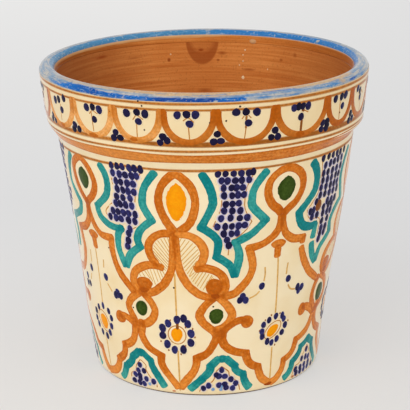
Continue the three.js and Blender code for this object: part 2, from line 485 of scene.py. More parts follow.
def worn_cobalt():
    """Cobalt brushed on tin glaze, streaked along the lip: deep blue where it pooled, grey and tan where
    handling wore it off, and thin over the clay inside. Its pale blue streaks are partly wear and partly a
    painted highlight."""
    material = new_material("worn cobalt lip glaze")
    number = {key: add_node(material, "Attribute", out="Fac", attribute_name=key) for key in LIP_LAYERS}
    spot = add_node(material, "TexCoord", out="Object")
    round_lip = add_node(material, "Mapping", {"Vector": spot, "Scale": (1 / (9 * MM), 1 / (9 * MM), 0.0)})
    over_lip = add_node(material, "CombineXYZ", {"Z": number["across"]})
    brush_way = add_node(material, "VectorMath", {0: round_lip, 1: over_lip})
    hairs = add_node(material, "TexNoise", {"Vector": brush_way, "Scale": 0.95, "Detail": 5.0})
    mottle = add_node(material, "TexNoise", {"Vector": brush_way, "Scale": 0.45, "Detail": 6.0})
    broken = add_node(material, "Math", {0: hairs, 1: mottle})
    uneven = add_node(material, "Math", {0: broken, 1: number["blue"]})
    pale_blue = blend(material, number["depth"], "#4482AC", "#0A6CBC", 0.0, 0.5)
    deep_blue = blend(material, number["depth"], pale_blue, "#043E8E", 0.5, 1.0)
    # Pale blue streaks along the hairs: partly rubbed wear, partly a painted highlight on the glaze.
    worn_and_glinting = blend(material, hairs, deep_blue, "#94BCDE", 0.56, 0.74, 0.6)
    grey = blend(material, mottle, "#BAB4AA", "#7890A8", 0.36, 0.6)
    handled = add_node(material, "Math", {0: broken, 1: 0.5, 2: number["tan"]}, operation="MULTIPLY_ADD")
    worn = blend(material, handled, grey, "#C6A47A", 0.6, 1.35)
    painted = blend(material, uneven, worn, worn_and_glinting, 1.25, 1.65)
    fleck = add_node(material, "TexNoise", {"Vector": spot, "Scale": 1 / (2.4 * MM), "Detail": 3.0})
    dark_flecks = blend(material, fleck, painted, "#3A6494", 0.56, 0.7, 0.45)
    flecked = blend(material, fleck, dark_flecks, "#D6CDB8", 0.42, 0.3, 0.4)
    clay_colour, _ = terracotta_colour(material)
    bare = add_node(material, "Math", {0: broken, 1: 0.6, 2: number["clay"]}, operation="MULTIPLY_ADD")
    lapped = blend(material, bare, "#E0B27A", clay_colour, 0.6, 1.5)
    colour = blend(material, number["lap"], flecked, lapped)
    return melt(material, colour, roughness=0.24, gloss=0.12, bloom=LIP_BLOOM, swell=6, depth=0.12)


def lip_section(inset):
    """Lip section, radius and height, drawn in by an inset: half an ellipse over the crest, then down the
    inside, where the coat thins out to nothing."""
    over = np.linspace(0, math.pi, LIP_STEPS)
    share = np.linspace(0, 1, LAP_STEPS)[1:]
    down = collar_top - LAP_INSIDE * share
    radius = lip_centre + (LIP_WIDTH / 2 - inset) * np.cos(over)
    height = collar_top + (crest - collar_top - inset) * np.sin(over)
    lap = inside_radius(down) - (coat - inset) * (1 - 0.9 * share)
    return np.concatenate([radius, lap]), np.concatenate([height, down])


def oval_share(turn, over, middle, height, long, wide, inner):
    """Share of an oval patch of the lip: 1 up to an inner share of its size, fading to 0 past its edge."""
    return 1 - soft_step(np.hypot((turn - middle) / long, (over - height) / wide), inner, 1.1)


def lip_paint(turn):
    """Numbers for the material at each point of the lip's face, in degrees round from the front and over
    the lip, from 0 outside through 90 on the crest to 180 inside. Cobalt lies along the outer flank on the
    left, in patches further right and in a band on the inner flank behind, with a haze of it over the
    crest, which hands wore to tan in front. The coat ends where it laps the clay, lower on the left."""
    over = np.concatenate([np.linspace(0, 180, LIP_STEPS), np.linspace(180, 240, LAP_STEPS)[1:]])[:, None]
    side = np.sin(turn)
    turn = np.degrees(turn)
    lap_edge = LAP_EDGE + LAP_LOWER * soft_step(-side, 0.3, 0.9)
    behind = soft_step(np.abs(turn), *BACK_BEGINS)
    inner = soft_step(over, *INNER_BEGINS) * behind * (1 - 0.25 * soft_step(side, 0.6, 1.0))
    flank_turn, *flank_rows = np.transpose(FLANK_COBALT)
    reach, full, deep = (np.interp(turn, flank_turn, row) for row in flank_rows)
    flank = soft_step(over, *FLANK_BEGINS) * (1 - soft_step(over, reach - 8, reach + 8)) * full
    blue = np.maximum(inner, flank)
    depth = np.where(flank > inner, deep, 0.32 * soft_step(side, -0.2, 0.3))
    for middle, height, long, wide, full, deep in COBALT_PATCHES:
        patch = full * oval_share(turn, over, middle, height, long, wide, 0.4)
        depth = np.where(patch > blue, deep, depth)
        blue = np.maximum(blue, patch)
    for *oval, share in CHIPS:
        blue = blue * (1 - share * oval_share(turn, over, *oval, 0.6))
    haze = soft_step(over, *HAZE_BEGINS) * (1 - soft_step(over, *HAZE_ENDS)) * (1 - behind)
    blue = np.maximum(blue, HAZE_FULLNESS * haze)
    front = soft_step(turn, -24, -12) * (1 - soft_step(turn, 4, 16))
    tan = soft_step(over, 46 - 16 * front, 72 - 14 * front) * (1 - soft_step(np.abs(turn), *TAN_ENDS))
    *oval, share = THUMBED
    thumbed = share * oval_share(turn, over, *oval, 0.3)
    blue = blue * (1 - thumbed)
    tan = np.maximum(tan * (1 - 0.5 * soft_step(-turn, 24, 40)), thumbed)
    lap = soft_step(over, lap_edge, lap_edge + 6)
    clay = soft_step(over, lap_edge + 5, lap_edge + 11 + 34 * soft_step(-side, -0.25, 0.1))
    across = over * math.radians(LIP_WIDTH / 2)
    return [np.broadcast_to(part, blue.shape) for part in (blue, depth, tan, lap, clay, across)]


lip_outer = lip_section(0)
lip_inner = lip_section(GLAZE_THICKNESS)
lip_turn = np.linspace(0, math.tau, LIP_TURN_STEPS, endpoint=False)
lip_numbers = lip_paint((lip_turn + math.pi) % math.tau - math.pi)
lip_radius, lip_height = (np.concatenate([face, back[::-1]]) for face, back in zip(lip_outer, lip_inner))
add_piece(
    "lip_coat",
    [turned(lip_radius, lip_height, steps=LIP_TURN_STEPS)],
    True,
    worn_cobalt(),
    ("lip_glaze",),
    {key: [np.concatenate([part, part[::-1]])] for key, part in zip(LIP_LAYERS, lip_numbers)},
)

# Banded lines and the shoulder band
# Brown and ochre colour, laid on with a loaded brush held still while the pot turned on the wheel.
# No line closes quite level: each tilts by about a millimetre across the pot and its edges waver.
BAND_STEPS = 360
PAINT_THICKNESS = 0.18
# Streaks that the hairs of a brush leave: their length in mm, and how many lie in half of a stroke's width
STREAK_LENGTH = 14.0
STREAKS_ACROSS = 2.2


def fired_colour(
    name, thin, full, deep, streak=0.3, pooled=0.0, edge=0.94, fade=0.3, grit=0.14, bloom=BLOOM,
):
    """Metal-oxide colour painted on raw tin glaze and melted into it. It is streaked along the brush stroke
    between a thin and a full colour, thinner where the brush ran dry, which is a load under 0. It goes over
    to a deep one where strokes lie over each other and, as far as pooled says, along its sides, and fades
    to the cream from an edge outwards. The grit is how far coarse pigment makes it lighter and darker from
    millimetre to millimetre."""
    material = new_material(name)
    spot = add_node(material, "TexCoord", out="Object")
    across = add_node(material, "Attribute", out="Fac", attribute_name="across")
    along = add_node(material, "Attribute", out="Fac", attribute_name="along")
    load = add_node(material, "Attribute", out="Fac", attribute_name="load")
    stroke = add_node(material, "CombineXYZ", {"X": along, "Y": across})
    hairs = add_node(material, "Mapping", {
        "Vector": stroke, "Scale": (1 / STREAK_LENGTH, STREAKS_ACROSS, 1.0),
    })
    streaks = add_node(material, "TexNoise", {"Vector": hairs, "Scale": 1.0, "Detail": 3.0})
    grain = add_node(material, "TexNoise", {"Vector": spot, "Scale": 1 / (2.2 * MM), "Detail": 4.0})
    uneven = add_node(material, "Math", {0: streaks, 1: grain})
    loaded = add_node(material, "Math", {0: load, 1: 0.6, 2: uneven}, operation="MULTIPLY_ADD")
    body = blend(material, loaded, thin, full, 1.0 - streak, 1.0 + streak)
    out = add_node(material, "Math", {0: across}, operation="ABSOLUTE")
    side = add_node(material, "MapRange", {
        "Value": out, "From Min": 0.5, "From Max": 0.9, "To Max": pooled,
    }, interpolation_type="SMOOTHSTEP")
    heavy = add_node(material, "Math", {0: load, 1: side}, operation="MAXIMUM")
    bare = add_node(material, "MapRange", {
        "Value": out, "From Min": edge, "From Max": 1.0, "To Max": fade,
    }, interpolation_type="SMOOTHSTEP")
    covered = add_node(material, "Math", {0: load, 1: 0.0}, operation="MAXIMUM")
    open_edge = add_node(material, "Math", {0: bare, 1: covered}, operation="SUBTRACT", use_clamp=True)
    filled = blend(material, heavy, body, deep)
    pigment = add_node(material, "TexNoise", {"Vector": spot, "Scale": 1 / (2.6 * MM), "Detail": 2.0})
    shade = add_node(material, "MapRange", {
        "Value": pigment, "From Min": 0.3, "From Max": 0.7, "To Min": 1 - grit, "To Max": 1 + grit,
    })
    gritty = add_node(material, "VectorMath", {0: filled, "Scale": shade}, operation="SCALE")
    colour = blend(material, open_edge, gritty, cream_colour(material))
    return melt(material, colour, roughness=0.25, gloss=0.06, bloom=bloom, swell=5, depth=0.1)


def on_pot(turn, height, lift):
    """Point on the glazed outside, lifted off it. Its height counts from the glaze's edge at the foot."""
    height = height + BARE_FOOT
    strayed = outside_radius(height) + hand_drift(turn, height) - shoulder_hollow(turn, height)
    return place(turn, height, strayed + lift)


# Brush section across a stroke: places from edge to edge, then back under the glaze, and their lift as shares
BRUSH_ACROSS = np.array([1.08, 1.0, 0.85, 0.45, 0.0, -0.45, -0.85, -1.0, -1.08, -0.6, 0.6])
BRUSH_LIFT = np.array([-0.8, -0.15, 0.5, 1.0, 1.0, 1.0, 0.5, -0.15, -0.8, -1.8, -1.8])


def add_band(name, node, middle, tilt, width, material, load=0.0, load_turn=0.35, swell=0.0):
    """Band round the pot: its middle rises by the tilt towards +X and wavers by up to a fifth of a
    millimetre, and its width wavers by a tenth and swells on the right. The load is what the brush left over
    a third of the way round, about a turn from the front."""
    turn = np.linspace(0, math.tau, BAND_STEPS, endpoint=False)[:, None]
    waver = 0.12 * np.sin(5 * turn + middle) + 0.08 * np.sin(11 * turn + tilt)
    half = width / 2 * (1 + 0.1 * np.sin(7 * turn + 2 * middle) + swell * soft_step(np.sin(turn), 0.2, 0.8))
    height = middle + tilt * np.sin(turn) + waver + half * BRUSH_ACROSS
    rings = on_pot(turn, height, PAINT_THICKNESS * BRUSH_LIFT)
    layers = {
        "across": [np.broadcast_to(BRUSH_ACROSS, height.shape)],
        "along": [np.broadcast_to(turn * edge_radius, height.shape)],
        "load": [np.broadcast_to(load * soft_step(np.cos(turn - load_turn), 0.6, 0.95), height.shape)],
    }
    add_piece(name, [rings], True, material, (node,), layers)


line_brown = fired_colour(
    "brown banding colour", "#C47C34", "#A05C1C", "#8A4A12", streak=0.25, edge=0.3, fade=0.7,
)
band_ochre = fired_colour(
    "ochre shoulder colour", "#E6903E", "#C66614", "#9E4C08",
    streak=0.25, pooled=0.4, edge=0.9, fade=0.4, bloom=0.35,
)
add_band(
    "shoulder_band", "shoulder_glaze", 228.9, 0.8, 9.6, band_ochre,
    load=-0.5, load_turn=-0.85, swell=0.32,
)
# Brown lines from the wall up: middle height, tilt, width, load and swell
BROWN_LINES = {
    "wall_top_line": (217.4, 1.0, 3.2, 0.0, 0.0),
    "collar_edge_line": (236.7, 1.4, 2.8, 0.0, 0.0),
    "collar_base_band": (242.7, 1.0, 5.0, 0.3, 0.0),
    "collar_top_line": (272.8, 1.1, 2.9, 0.0, 0.2),
    "lip_line": (278.1, 0.8, 3.1, 0.0, 0.22),
}
for name, (middle, tilt, width, load, swell) in BROWN_LINES.items():
    add_band(name, name, middle, tilt, width, line_brown, load, swell=swell)

# Ochre strapwork
# Interlaced ochre straps on the wall and scallops on the collar, each one stroke of a loaded round brush.
# Two panels take turns round the pot: one with a hatched shell, one with a bell flower on tendrils.
STROKE_STEP = 1.4
STRAP_WIDTH = 7.9
HOOK_WIDTH = 7.6
LOWEST_PAINT = 0.6
# Colour gathers where strokes cross: how much, and over how many mm from their edge, and less at a corner
OVERLAP_LOAD = 0.42
OVERLAP_RAMP = 2.2
CORNER_LOAD = 0.25
# How far past a corner a stroke goes, as a share of its width
CORNER_REACH = 0.4
# Each of nine strokes in turn lies a little higher, so that no two faces share a place where they cross
LAYERS = 9
LAYER_LIFT = 0.01
# Section of a daub from under the glaze to the top of its dome: size of its ring and lift, as shares
DAUB_SIZE = np.array([0.9, 1.08, 1.0, 0.85, 0.5, 0.2])[:, None]
DAUB_LIFT = np.array([-1.8, -0.8, -0.15, 0.5, 1.0, 1.2])[:, None]

# A stroke is the points it goes through: turn from the front in degrees, and height in mm above the edge of
# the glaze at the foot. A point twice is a corner.
SHELL_STRAPS = [
    [(-12.2, 160), (-14.8, 167), (-17.2, 178), (-18.1, 189), (-17, 200), (-14.5, 208.4), (-11.2, 213.8),
     (-7.8, 208.4), (-5.4, 201), (-4.1, 190), (-4.6, 179), (-6.6, 168), (-10.6, 160)],
    [(-12.9, 160), (-13.2, 145), (-13.8, 132), (-15, 120.5), (-17.7, 110), (-20.2, 104.5), (-23.2, 100),
     (-29.5, 95.5)],
    [(-12.5, 160), (-12.2, 145), (-11.7, 132), (-10.6, 120.5), (-8, 110), (-5.6, 104.5), (-2.6, 100),
     (3.6, 95.5)],
    [(-12.6, 158.4), (-18, 157.2), (-21.6, 152.3), (-23.6, 145.5), (-23.7, 139), (-22.6, 132.5),
     (-20.6, 127)],
    [(-12.4, 158.4), (-6.8, 157), (-3.2, 152), (-1.2, 145), (-0.9, 139), (-1.9, 132), (-3.8, 126.4)],
    [(-17.6, 124), (-20.5, 125.8), (-24.3, 125.8), (-28.2, 122.3), (-31, 117.5), (-32.4, 111),
     (-32.2, 105), (-29.6, 97.6)],
    [(-5.2, 124.4), (-3, 126), (0, 126), (3.5, 123.3), (6.4, 118), (7.7, 111), (7.5, 104), (4.2, 96.4)],
    [(-30, 70.5), (-30.5, 63), (-31, 55), (-29.5, 48), (-27, 42.2), (-21.7, 37), (-21.7, 37), (-22, 30.3),
     (-20.8, 23.7), (-18.4, 17), (-13.6, 5)],
    [(3.4, 66), (4.2, 61), (3.9, 56), (2.8, 51), (1, 44.6), (-1.4, 40.2), (-4.9, 36.9), (-4.9, 36.9),
     (-5.2, 30.3), (-6.4, 23.7), (-8.6, 17.5), (-13.6, 5)],
]
BELL_STRAPS = [
    [(30.2, 171.5), (28.6, 176.5), (26, 181.5), (24.2, 188.3), (23.6, 195.8), (24.4, 204.2),
     (27.2, 210.8), (31.4, 214.4), (35.7, 210.8), (38.5, 204.2), (39.3, 195.8), (38.5, 188.3),
     (36.3, 181), (33.2, 176), (31, 171.5)],
    [(30.4, 176), (30.2, 166), (29.6, 159), (27.9, 153.3), (25, 148.3), (21.7, 145), (17.2, 143),
     (17.2, 143), (18.8, 130), (18.9, 122), (17.4, 113.5), (13.8, 104.2), (10.8, 99.8), (4.4, 97)],
    [(30.8, 176), (30.9, 166), (31.7, 159), (33, 152.5), (35.4, 147.5), (38.3, 144.8), (42.6, 143.8),
     (42.6, 143.8), (42.3, 138)],
    [(42, 136.2), (43.3, 128.3), (45, 120.8), (47.1, 114.2), (50, 106.7), (57.2, 95.4)],
    [(6.4, 66), (6.8, 61), (6.7, 55.5), (8.2, 48.9), (12.2, 43), (18, 39.8), (18, 39.8), (18.8, 33.5),
     (21, 27.4), (24.5, 23.9), (24.5, 23.9), (25.5, 17), (27.4, 10.5), (31.7, 4.6)],
    [(31.5, 4.6), (35, 7), (37.6, 12.5), (38.9, 18), (39.3, 24.2), (39.3, 24.2), (43, 27.4), (45.4, 32.8),
     (46.6, 40.8), (46.6, 40.8), (50.8, 43), (54.2, 46.4), (56.7, 52), (58.8, 62)],
]
LEFT_BELL_STRAPS = [
    [(-55.2, 171), (-56.4, 175), (-58.8, 180), (-61.2, 188.3), (-62.1, 196.7), (-61.8, 204.2),
     (-59.2, 210.6), (-55.2, 214.4), (-51.4, 209.2), (-49.1, 202.5), (-47.8, 194.2), (-48.6, 186.7),
     (-51, 179.6), (-53.6, 175), (-54.5, 171)],
    [(-54.9, 175), (-55, 166), (-55.6, 159), (-56.9, 153.3), (-59.1, 148.3), (-61.9, 145), (-66.8, 142.4),
     (-66.8, 142.4), (-65.3, 125.8), (-65.9, 118.3), (-67.3, 110.8), (-69.4, 104.2), (-74, 98.5),
     (-86.5, 97)],
    [(-54.7, 175), (-54.7, 166), (-53.8, 159), (-52.3, 152.5), (-50.1, 147.5), (-47.3, 144.6),
     (-42.2, 144.6), (-42.2, 144.6), (-42.5, 136.7), (-42.3, 130), (-41.6, 122.5), (-40.1, 115),
     (-38, 108.3), (-32.4, 96)],
    [(-33.9, 69), (-34.3, 62), (-34.8, 55.3), (-36, 48.4), (-38.6, 43.2), (-42, 39.8), (-42, 39.8),
     (-42.4, 33.6), (-44, 28), (-47.4, 22.4), (-47.4, 22.4), (-48.2, 16.8), (-50, 11.4), (-53, 7.4),
     (-58.6, 4.4)],
    [(-58, 4.4), (-60.9, 11), (-62.4, 18), (-63, 24.4), (-63, 24.4), (-67.3, 26.5), (-70, 34.5),
     (-74, 43), (-80, 50), (-84, 60)],
]
LEFT_HOOK = [[(-33.8, 62.5), (-36.4, 67.4), (-40, 70), (-42.6, 69)]]
HOOKS = [
    [(58, 62), (54.8, 67.5), (51.4, 71.4), (48.6, 72)],
    [(-54.2, 139.5), (-53.9, 128.3)],
    [(-57, 139.4), (-56, 141.8), (-54.4, 142.6), (-52.8, 141.8), (-51.8, 139.4)],
]
MIDDLE_HOOK = [[(6.7, 58), (7, 62.5), (8.6, 67.2), (11.6, 71.4), (15, 73.4), (17.8, 72.4)]]
BELL_BODY = [
    [(29.9, 141), (29.9, 130)],
    [(27.3, 141.2), (28.4, 143.6), (30, 144.4), (31.6, 143.6), (32.7, 141.2)],
]
LEFT_OVAL_STRAPS = [
    [(-29.4, 98.4), (-34, 91), (-36.5, 83.5), (-36.4, 78.5), (-35, 72.5), (-33.6, 66)],
    [(-28.9, 98.4), (-25.4, 91), (-23.5, 84), (-23.4, 79), (-24.7, 73), (-27.6, 67.6), (-31, 65.5)],
]
MIDDLE_OVAL_STRAPS = [
    [(3.8, 98.4), (-0.6, 90), (-3.2, 80.5), (-2, 73.4), (0.6, 68), (3.2, 63.5), (4.2, 59)],
    [(4.2, 98.4), (8.4, 90), (10.9, 80.5), (9.9, 73.4), (7.2, 67.6), (3.2, 65)],
]
RIGHT_OVAL_STRAPS = [
    [(59.4, 98), (56.3, 89), (55.2, 80), (56, 73), (58.2, 66), (59, 61)],
    [(60, 98), (66.5, 90), (69.2, 79), (67.5, 70.5), (63, 66), (59, 64.5)],
]

# How far round, in degrees, each part of the pattern is painted again on the back
SHELL_AGAIN = (92, 182, 271)
BELL_AGAIN = (91, 181)
GABLE_AGAIN = (91, 181, 271)
OVAL_AGAIN = (91.5, 148.8, 181.5, 238.5, 271)
LEFT_HOOK_AGAIN = (182.3, 272)
RIGHT_HOOK_AGAIN = (91.5, 181.5, 271)


def again(strokes, turns):
    """The strokes and their copies further round. A copy strays by less than a degree and a millimetre, as a
    hand does, in slow sines of the height and the turn."""
    copies = list(strokes)
    for go in turns:
        for points in strokes:
            copies.append([
                (turn + go + 0.6 * math.sin(height / 31 + go), height + 0.8 * math.sin(turn / 9 + go))
                for turn, height in points
            ])
    return copies


def turned_on(spots, turns):
    """Spots and their copies further round. A spot is a turn, a height and what goes with them."""
    return spots + [(turn + go, *rest) for go in turns for turn, *rest in spots]


def smooth_run(through):
    """Catmull-Rom curve through points, with 20 steps from each to the next."""
    padded = np.vstack([2 * through[0] - through[1], through, 2 * through[-1] - through[-2]])
    travel = np.linspace(0, len(through) - 1, 20 * (len(through) - 1) + 1)
    span = np.minimum(travel.astype(int), len(through) - 2)
    share = (travel - span)[:, None]
    before, start, end, after = (padded[span + step] for step in range(4))
    bend = 2 * before - 5 * start + 4 * end - after + share * (3 * (start - end) + after - before)
    return start + share / 2 * (end - before + share * bend)


def runs(points, width):
    """Runs of a line from corner to corner. The brush is set on anew at each corner, so the run before it and
    the run after it both reach a little past it."""
    through = np.array(points, float)
    corners = 1 + np.flatnonzero((through[1:] == through[:-1]).all(axis=1))
    parts = np.split(through, corners)
    for before, after in zip(parts, parts[1:]):
        scale = np.array([math.radians(outside_radius(after[0, 1])), 1])
        for end, inner in ((before[-1], before[-2]), (after[0], after[1])):
            step = (end - inner) * scale
            end += CORNER_REACH * width * step / np.hypot(*step) / scale
    return parts


def brush_path(through, half):
    """Path of a stroke: a smooth run sampled along its length in mm, with three samples more at each end.
    Returns turn in radians, height, length so far, and the way it goes as two numbers in mm."""
    curve = smooth_run(through * (math.radians(1), 1))
    scale = np.column_stack([outside_radius(curve[1:, 1]), np.ones(len(curve) - 1)])
    stretch = np.diff(curve, axis=0) * scale
    length = np.concatenate([[0], np.cumsum(np.hypot(*stretch.T))])
    total = length[-1]
    ends = np.array([0.06, 0.2, 0.5]) * min(half, total / 4)
    steps = np.linspace(0, total, max(3, round(total / STROKE_STEP) + 1))
    along = np.unique(np.concatenate([steps, ends, total - ends]))
    ahead = np.minimum(along + 0.3, total)
    behind = np.maximum(along - 0.3, 0)
    turn, height = (np.interp(along, length, line) for line in curve.T)
    step_turn, step_up = (
        (np.interp(ahead, length, line) - np.interp(behind, length, line)) / (ahead - behind)
        for line in curve.T
    )
    return turn, height, along, step_turn * outside_radius(height), step_up


def brush_stroke(width, through, order):
    """Stroke of a round brush: the brush section follows the path, wavers a little in width and ends bluntly.
    Returns its rings, its numbers along and across, and the flat places of its points and path."""
    half = width / 2
    turn, height, along, step_out, step_up = brush_path(through, half)
    size = np.hypot(step_out, step_up)
    to_end = np.minimum(along, along[-1] - along) / (0.6 * half)
    taper = np.cbrt(1 - (1 - np.clip(to_end, 0.02, 1)) ** 3)
    waver = 1 + 0.06 * np.sin(along / 9 + order) + 0.03 * np.sin(along / 4 + 2 * order)
    reach = (half * taper * waver)[:, None] * BRUSH_ACROSS
    side_turn = turn[:, None] - reach * (step_up / size / outside_radius(height))[:, None]
    side_height = np.maximum(height[:, None] + reach * (step_out / size)[:, None], LOWEST_PAINT)
    thickness = PAINT_THICKNESS * min(1, half / 2) + LAYER_LIFT * (order % LAYERS)
    return {
        "rings": on_pot(side_turn, side_height, thickness * BRUSH_LIFT),
        "across": np.broadcast_to(BRUSH_ACROSS, reach.shape),
        "along": np.broadcast_to(along[:, None] + 37.0 * order, reach.shape),
        "points": np.stack([side_turn, side_height], axis=-1),
        "path": np.column_stack([turn, height]),
        "half": half * taper,
    }


def brushed(width, lines):
    """Strokes of one brush along lines of points, with a stroke for each run from corner to corner."""
    parts = [(number, run) for number, points in enumerate(lines) for run in runs(points, width)]
    return [
        {**brush_stroke(width, run, order), "line": (width, number)}
        for order, (number, run) in enumerate(parts)
    ]


def stroke_numbers(lines, points):
    """Numbers of the strokes that belong to one of the lines."""
    counts = [len(runs(line, 0)) for line in lines]
    place = lines.index(points)
    return range(sum(counts[:place]), sum(counts[:place + 1]))


def daub(turn, height, width, tall, order, sides=12, thick=1.0, surface=on_pot, peak=0.0, lean=0.0):
    """Touch of a full brush: rings of an oval rise from under the glaze to a low dome. A peak draws its top
    to a point, with its width as a higher power of the cosine there. A lean slants it to the right as it
    goes up."""
    around = np.linspace(0, math.tau, sides, endpoint=False)
    lift = DAUB_LIFT * PAINT_THICKNESS * thick + LAYER_LIFT * (order % LAYERS)
    round_it = 1 + 0.035 * np.sin(2 * around + order) + 0.03 * np.sin(3 * around + 2 * order)
    drawn = np.abs(np.cos(around)) ** np.where(np.sin(around) > 0, peak, 0.15 * peak)
    out = DAUB_SIZE * round_it * np.cos(around) * drawn * width / 2
    up = DAUB_SIZE * round_it * np.sin(around) * tall / 2
    side_turn = math.radians(turn) + (out + lean * up) / outside_radius(height)
    side_height = np.maximum(height + up, LOWEST_PAINT)
    return {
        "rings": surface(side_turn, side_height, lift),
        "across": np.broadcast_to(DAUB_SIZE, out.shape),
        "along": np.broadcast_to(around * width / 2 + 23.0 * order, out.shape),
        "points": np.stack([side_turn, side_height], axis=-1),
        "path": np.array([[math.radians(turn), height]]),
        "half": np.array([min(width, tall) / 2]),
    }


def daubs(spots, sides, **look):
    """Daubs at spots, each a turn, a height, a width and how tall it is."""
    return [daub(*spot, order, sides, **look) for order, spot in enumerate(spots)]


def overlap_load(strokes):
    """For each stroke, how far each of its points lies under or over the other strokes: 0 outside them,
    rising to the full load a little inside their edge, which is less at a corner of one line."""
    low = np.array([stroke["points"].reshape(-1, 2).min(axis=0) for stroke in strokes])
    high = np.array([stroke["points"].reshape(-1, 2).max(axis=0) for stroke in strokes])
    loads = []
    for number, stroke in enumerate(strokes):
        load = np.zeros(stroke["points"].shape[:2])
        scale = np.array([outside_radius(stroke["points"][..., 1].mean()), 1.0])
        meets = np.all((low < high[number]) & (high > low[number]), axis=1)
        meets[number] = False
        for other in np.flatnonzero(meets):
            apart = (stroke["points"][:, :, None] - strokes[other]["path"]) * scale
            depth = (strokes[other]["half"] - np.hypot(apart[..., 0], apart[..., 1])).max(axis=2)
            at_corner = "line" in stroke and stroke["line"] == strokes[other].get("line")
            full = CORNER_LOAD if at_corner else OVERLAP_LOAD
            load = np.maximum(load, full * np.clip(depth / OVERLAP_RAMP, 0, 1))
        loads.append(load)
    return loads


def add_brushwork(name, strokes, material, extra=0.0):
    """One object from strokes and daubs of one colour, with its overlaps worked out. The extra is load to
    add: 0, or a list with a number or an array for each stroke."""
    layers = {key: [stroke[key] for stroke in strokes] for key in ("across", "along")}
    loads = overlap_load(strokes)
    more = extra if isinstance(extra, list) else [extra] * len(loads)
    layers["load"] = [np.clip(load + plus, -1, 1) for load, plus in zip(loads, more)]
    add_piece(name, [stroke["rings"] for stroke in strokes], False, material, layers=layers)


# Scallops hang between dividers on the collar: read at the front, evenly spaced on the back
FRONT_DIVIDERS = (-67.5, -49.5, -31.5, -14.2, 3.3, 23.2, 44.5, 59.7)
BACK_SCALLOPS = 13
SCALLOP_FOOT = 244.2
SCALLOP_SPRING = 268.0
SCALLOP_TOP = 274.0
SCALLOP_WIDTH = 6.6
LEG_GAP = 0.65
# How full the brush was for each scallop at the front, and how high its foot is
FRONT_LOADS = (0.05, -0.1, 0.15, 0.65, 0.75, 0.65, 0.9)
FRONT_FEET = (243.6, 243.3, 244.2, 244.2, 243.5, 244.2, 245.6)

dividers = list(FRONT_DIVIDERS)
back_step = (360 + FRONT_DIVIDERS[0] - FRONT_DIVIDERS[-1]) / BACK_SCALLOPS
dividers += [FRONT_DIVIDERS[-1] + back_step * (number + 1) for number in range(BACK_SCALLOPS)]


def scallop(left, right, foot):
    """Points of one scallop: the lower half of an ellipse, with a leg straight up from each of its ends."""
    around = np.radians(np.linspace(-90, 90, 11))
    out = np.sin(around)[[0, *range(11), 10]]
    turn = (left + right) / 2 + out * ((right - left) / 2 - LEG_GAP)
    bowl = SCALLOP_SPRING - (SCALLOP_SPRING - foot) * np.cos(around)
    height = np.concatenate([[SCALLOP_TOP], bowl, [SCALLOP_TOP]])
    return list(zip(turn, height + np.sin(np.radians(turn))))


straps = again(SHELL_STRAPS, SHELL_AGAIN) + again(BELL_STRAPS, BELL_AGAIN) + LEFT_BELL_STRAPS
straps += LEFT_OVAL_STRAPS + again(MIDDLE_OVAL_STRAPS, OVAL_AGAIN) + RIGHT_OVAL_STRAPS
hooks = HOOKS + again(LEFT_HOOK, LEFT_HOOK_AGAIN) + again(MIDDLE_HOOK, RIGHT_HOOK_AGAIN)
hooks += again(BELL_BODY, BELL_AGAIN)
strap_strokes = brushed(STRAP_WIDTH, straps) + brushed(HOOK_WIDTH, hooks)

strap_load = []
for order, stroke in enumerate(strap_strokes):
    strap_height = stroke["points"][..., 1]
    upper = 0.2 * soft_step(strap_height, 150, 200)
    dry = 0.6 * (1 - soft_step(strap_height, 6, 26))
    strap_load.append(upper - dry + 0.12 * np.sin(stroke["along"] / 17 + 2 * order))
# Strokes of a fuller or a drier brush than the rest, at the front
uneven_strokes = [
    (SHELL_STRAPS[7], 0.16), (SHELL_STRAPS[8], 0.16), (BELL_STRAPS[4], 0.16), (MIDDLE_HOOK[0], 0.32),
    (SHELL_STRAPS[4], -0.3), (MIDDLE_OVAL_STRAPS[1], -0.2),
]
for points, more in uneven_strokes:
    for order in stroke_numbers(straps + hooks, points):
        strap_load[order] += more
# Round ends of the hooks and of the shell's curls, and blots beside them: turn, height, width, how tall and
# load, and how far round each is painted again
STRAP_TOUCHES = [
    ((-27.4, 106.7, 17.4, 13.6, 0.3), SHELL_AGAIN),
    ((3.3, 107.7, 17, 16, 0.4), SHELL_AGAIN),
    ((3.8, 98.6, 10, 6.4, 0.9), SHELL_AGAIN),
    ((-28, 100.4, 15, 7, 0.5), SHELL_AGAIN),
    ((17.8, 71.4, 12.2, 12.6, 0.1), RIGHT_HOOK_AGAIN),
    ((-42.5, 67.6, 12.4, 13, 0.1), LEFT_HOOK_AGAIN),
    ((48.4, 70.2, 11.5, 12.6, 0.1), ()),
    ((31.4, 4.4, 11, 4.4, 0.8), ()),
]
strap_touches = [spot for first, turns in STRAP_TOUCHES for spot in turned_on([first], turns)]
strap_strokes += daubs([spot[:4] for spot in strap_touches], 24, thick=1.2)
strap_load += [spot[4] for spot in strap_touches]
strap_ochre = fired_colour(
    "ochre strap colour", "#E68E38", "#CB6810", "#A64C0A", streak=0.25, pooled=0.35,
)
add_brushwork("ochre_straps", strap_strokes, strap_ochre, strap_load)
scallop_ochre = fired_colour(
    "ochre scallop colour", "#F4B470", "#E0923E", "#B2580A", pooled=0.15, edge=0.9, fade=0.4,
)
feet = list(FRONT_FEET) + [SCALLOP_FOOT] * BACK_SCALLOPS
scallop_strokes = brushed(SCALLOP_WIDTH, [scallop(*ends) for ends in zip(dividers, dividers[1:], feet)])
leg_load = []
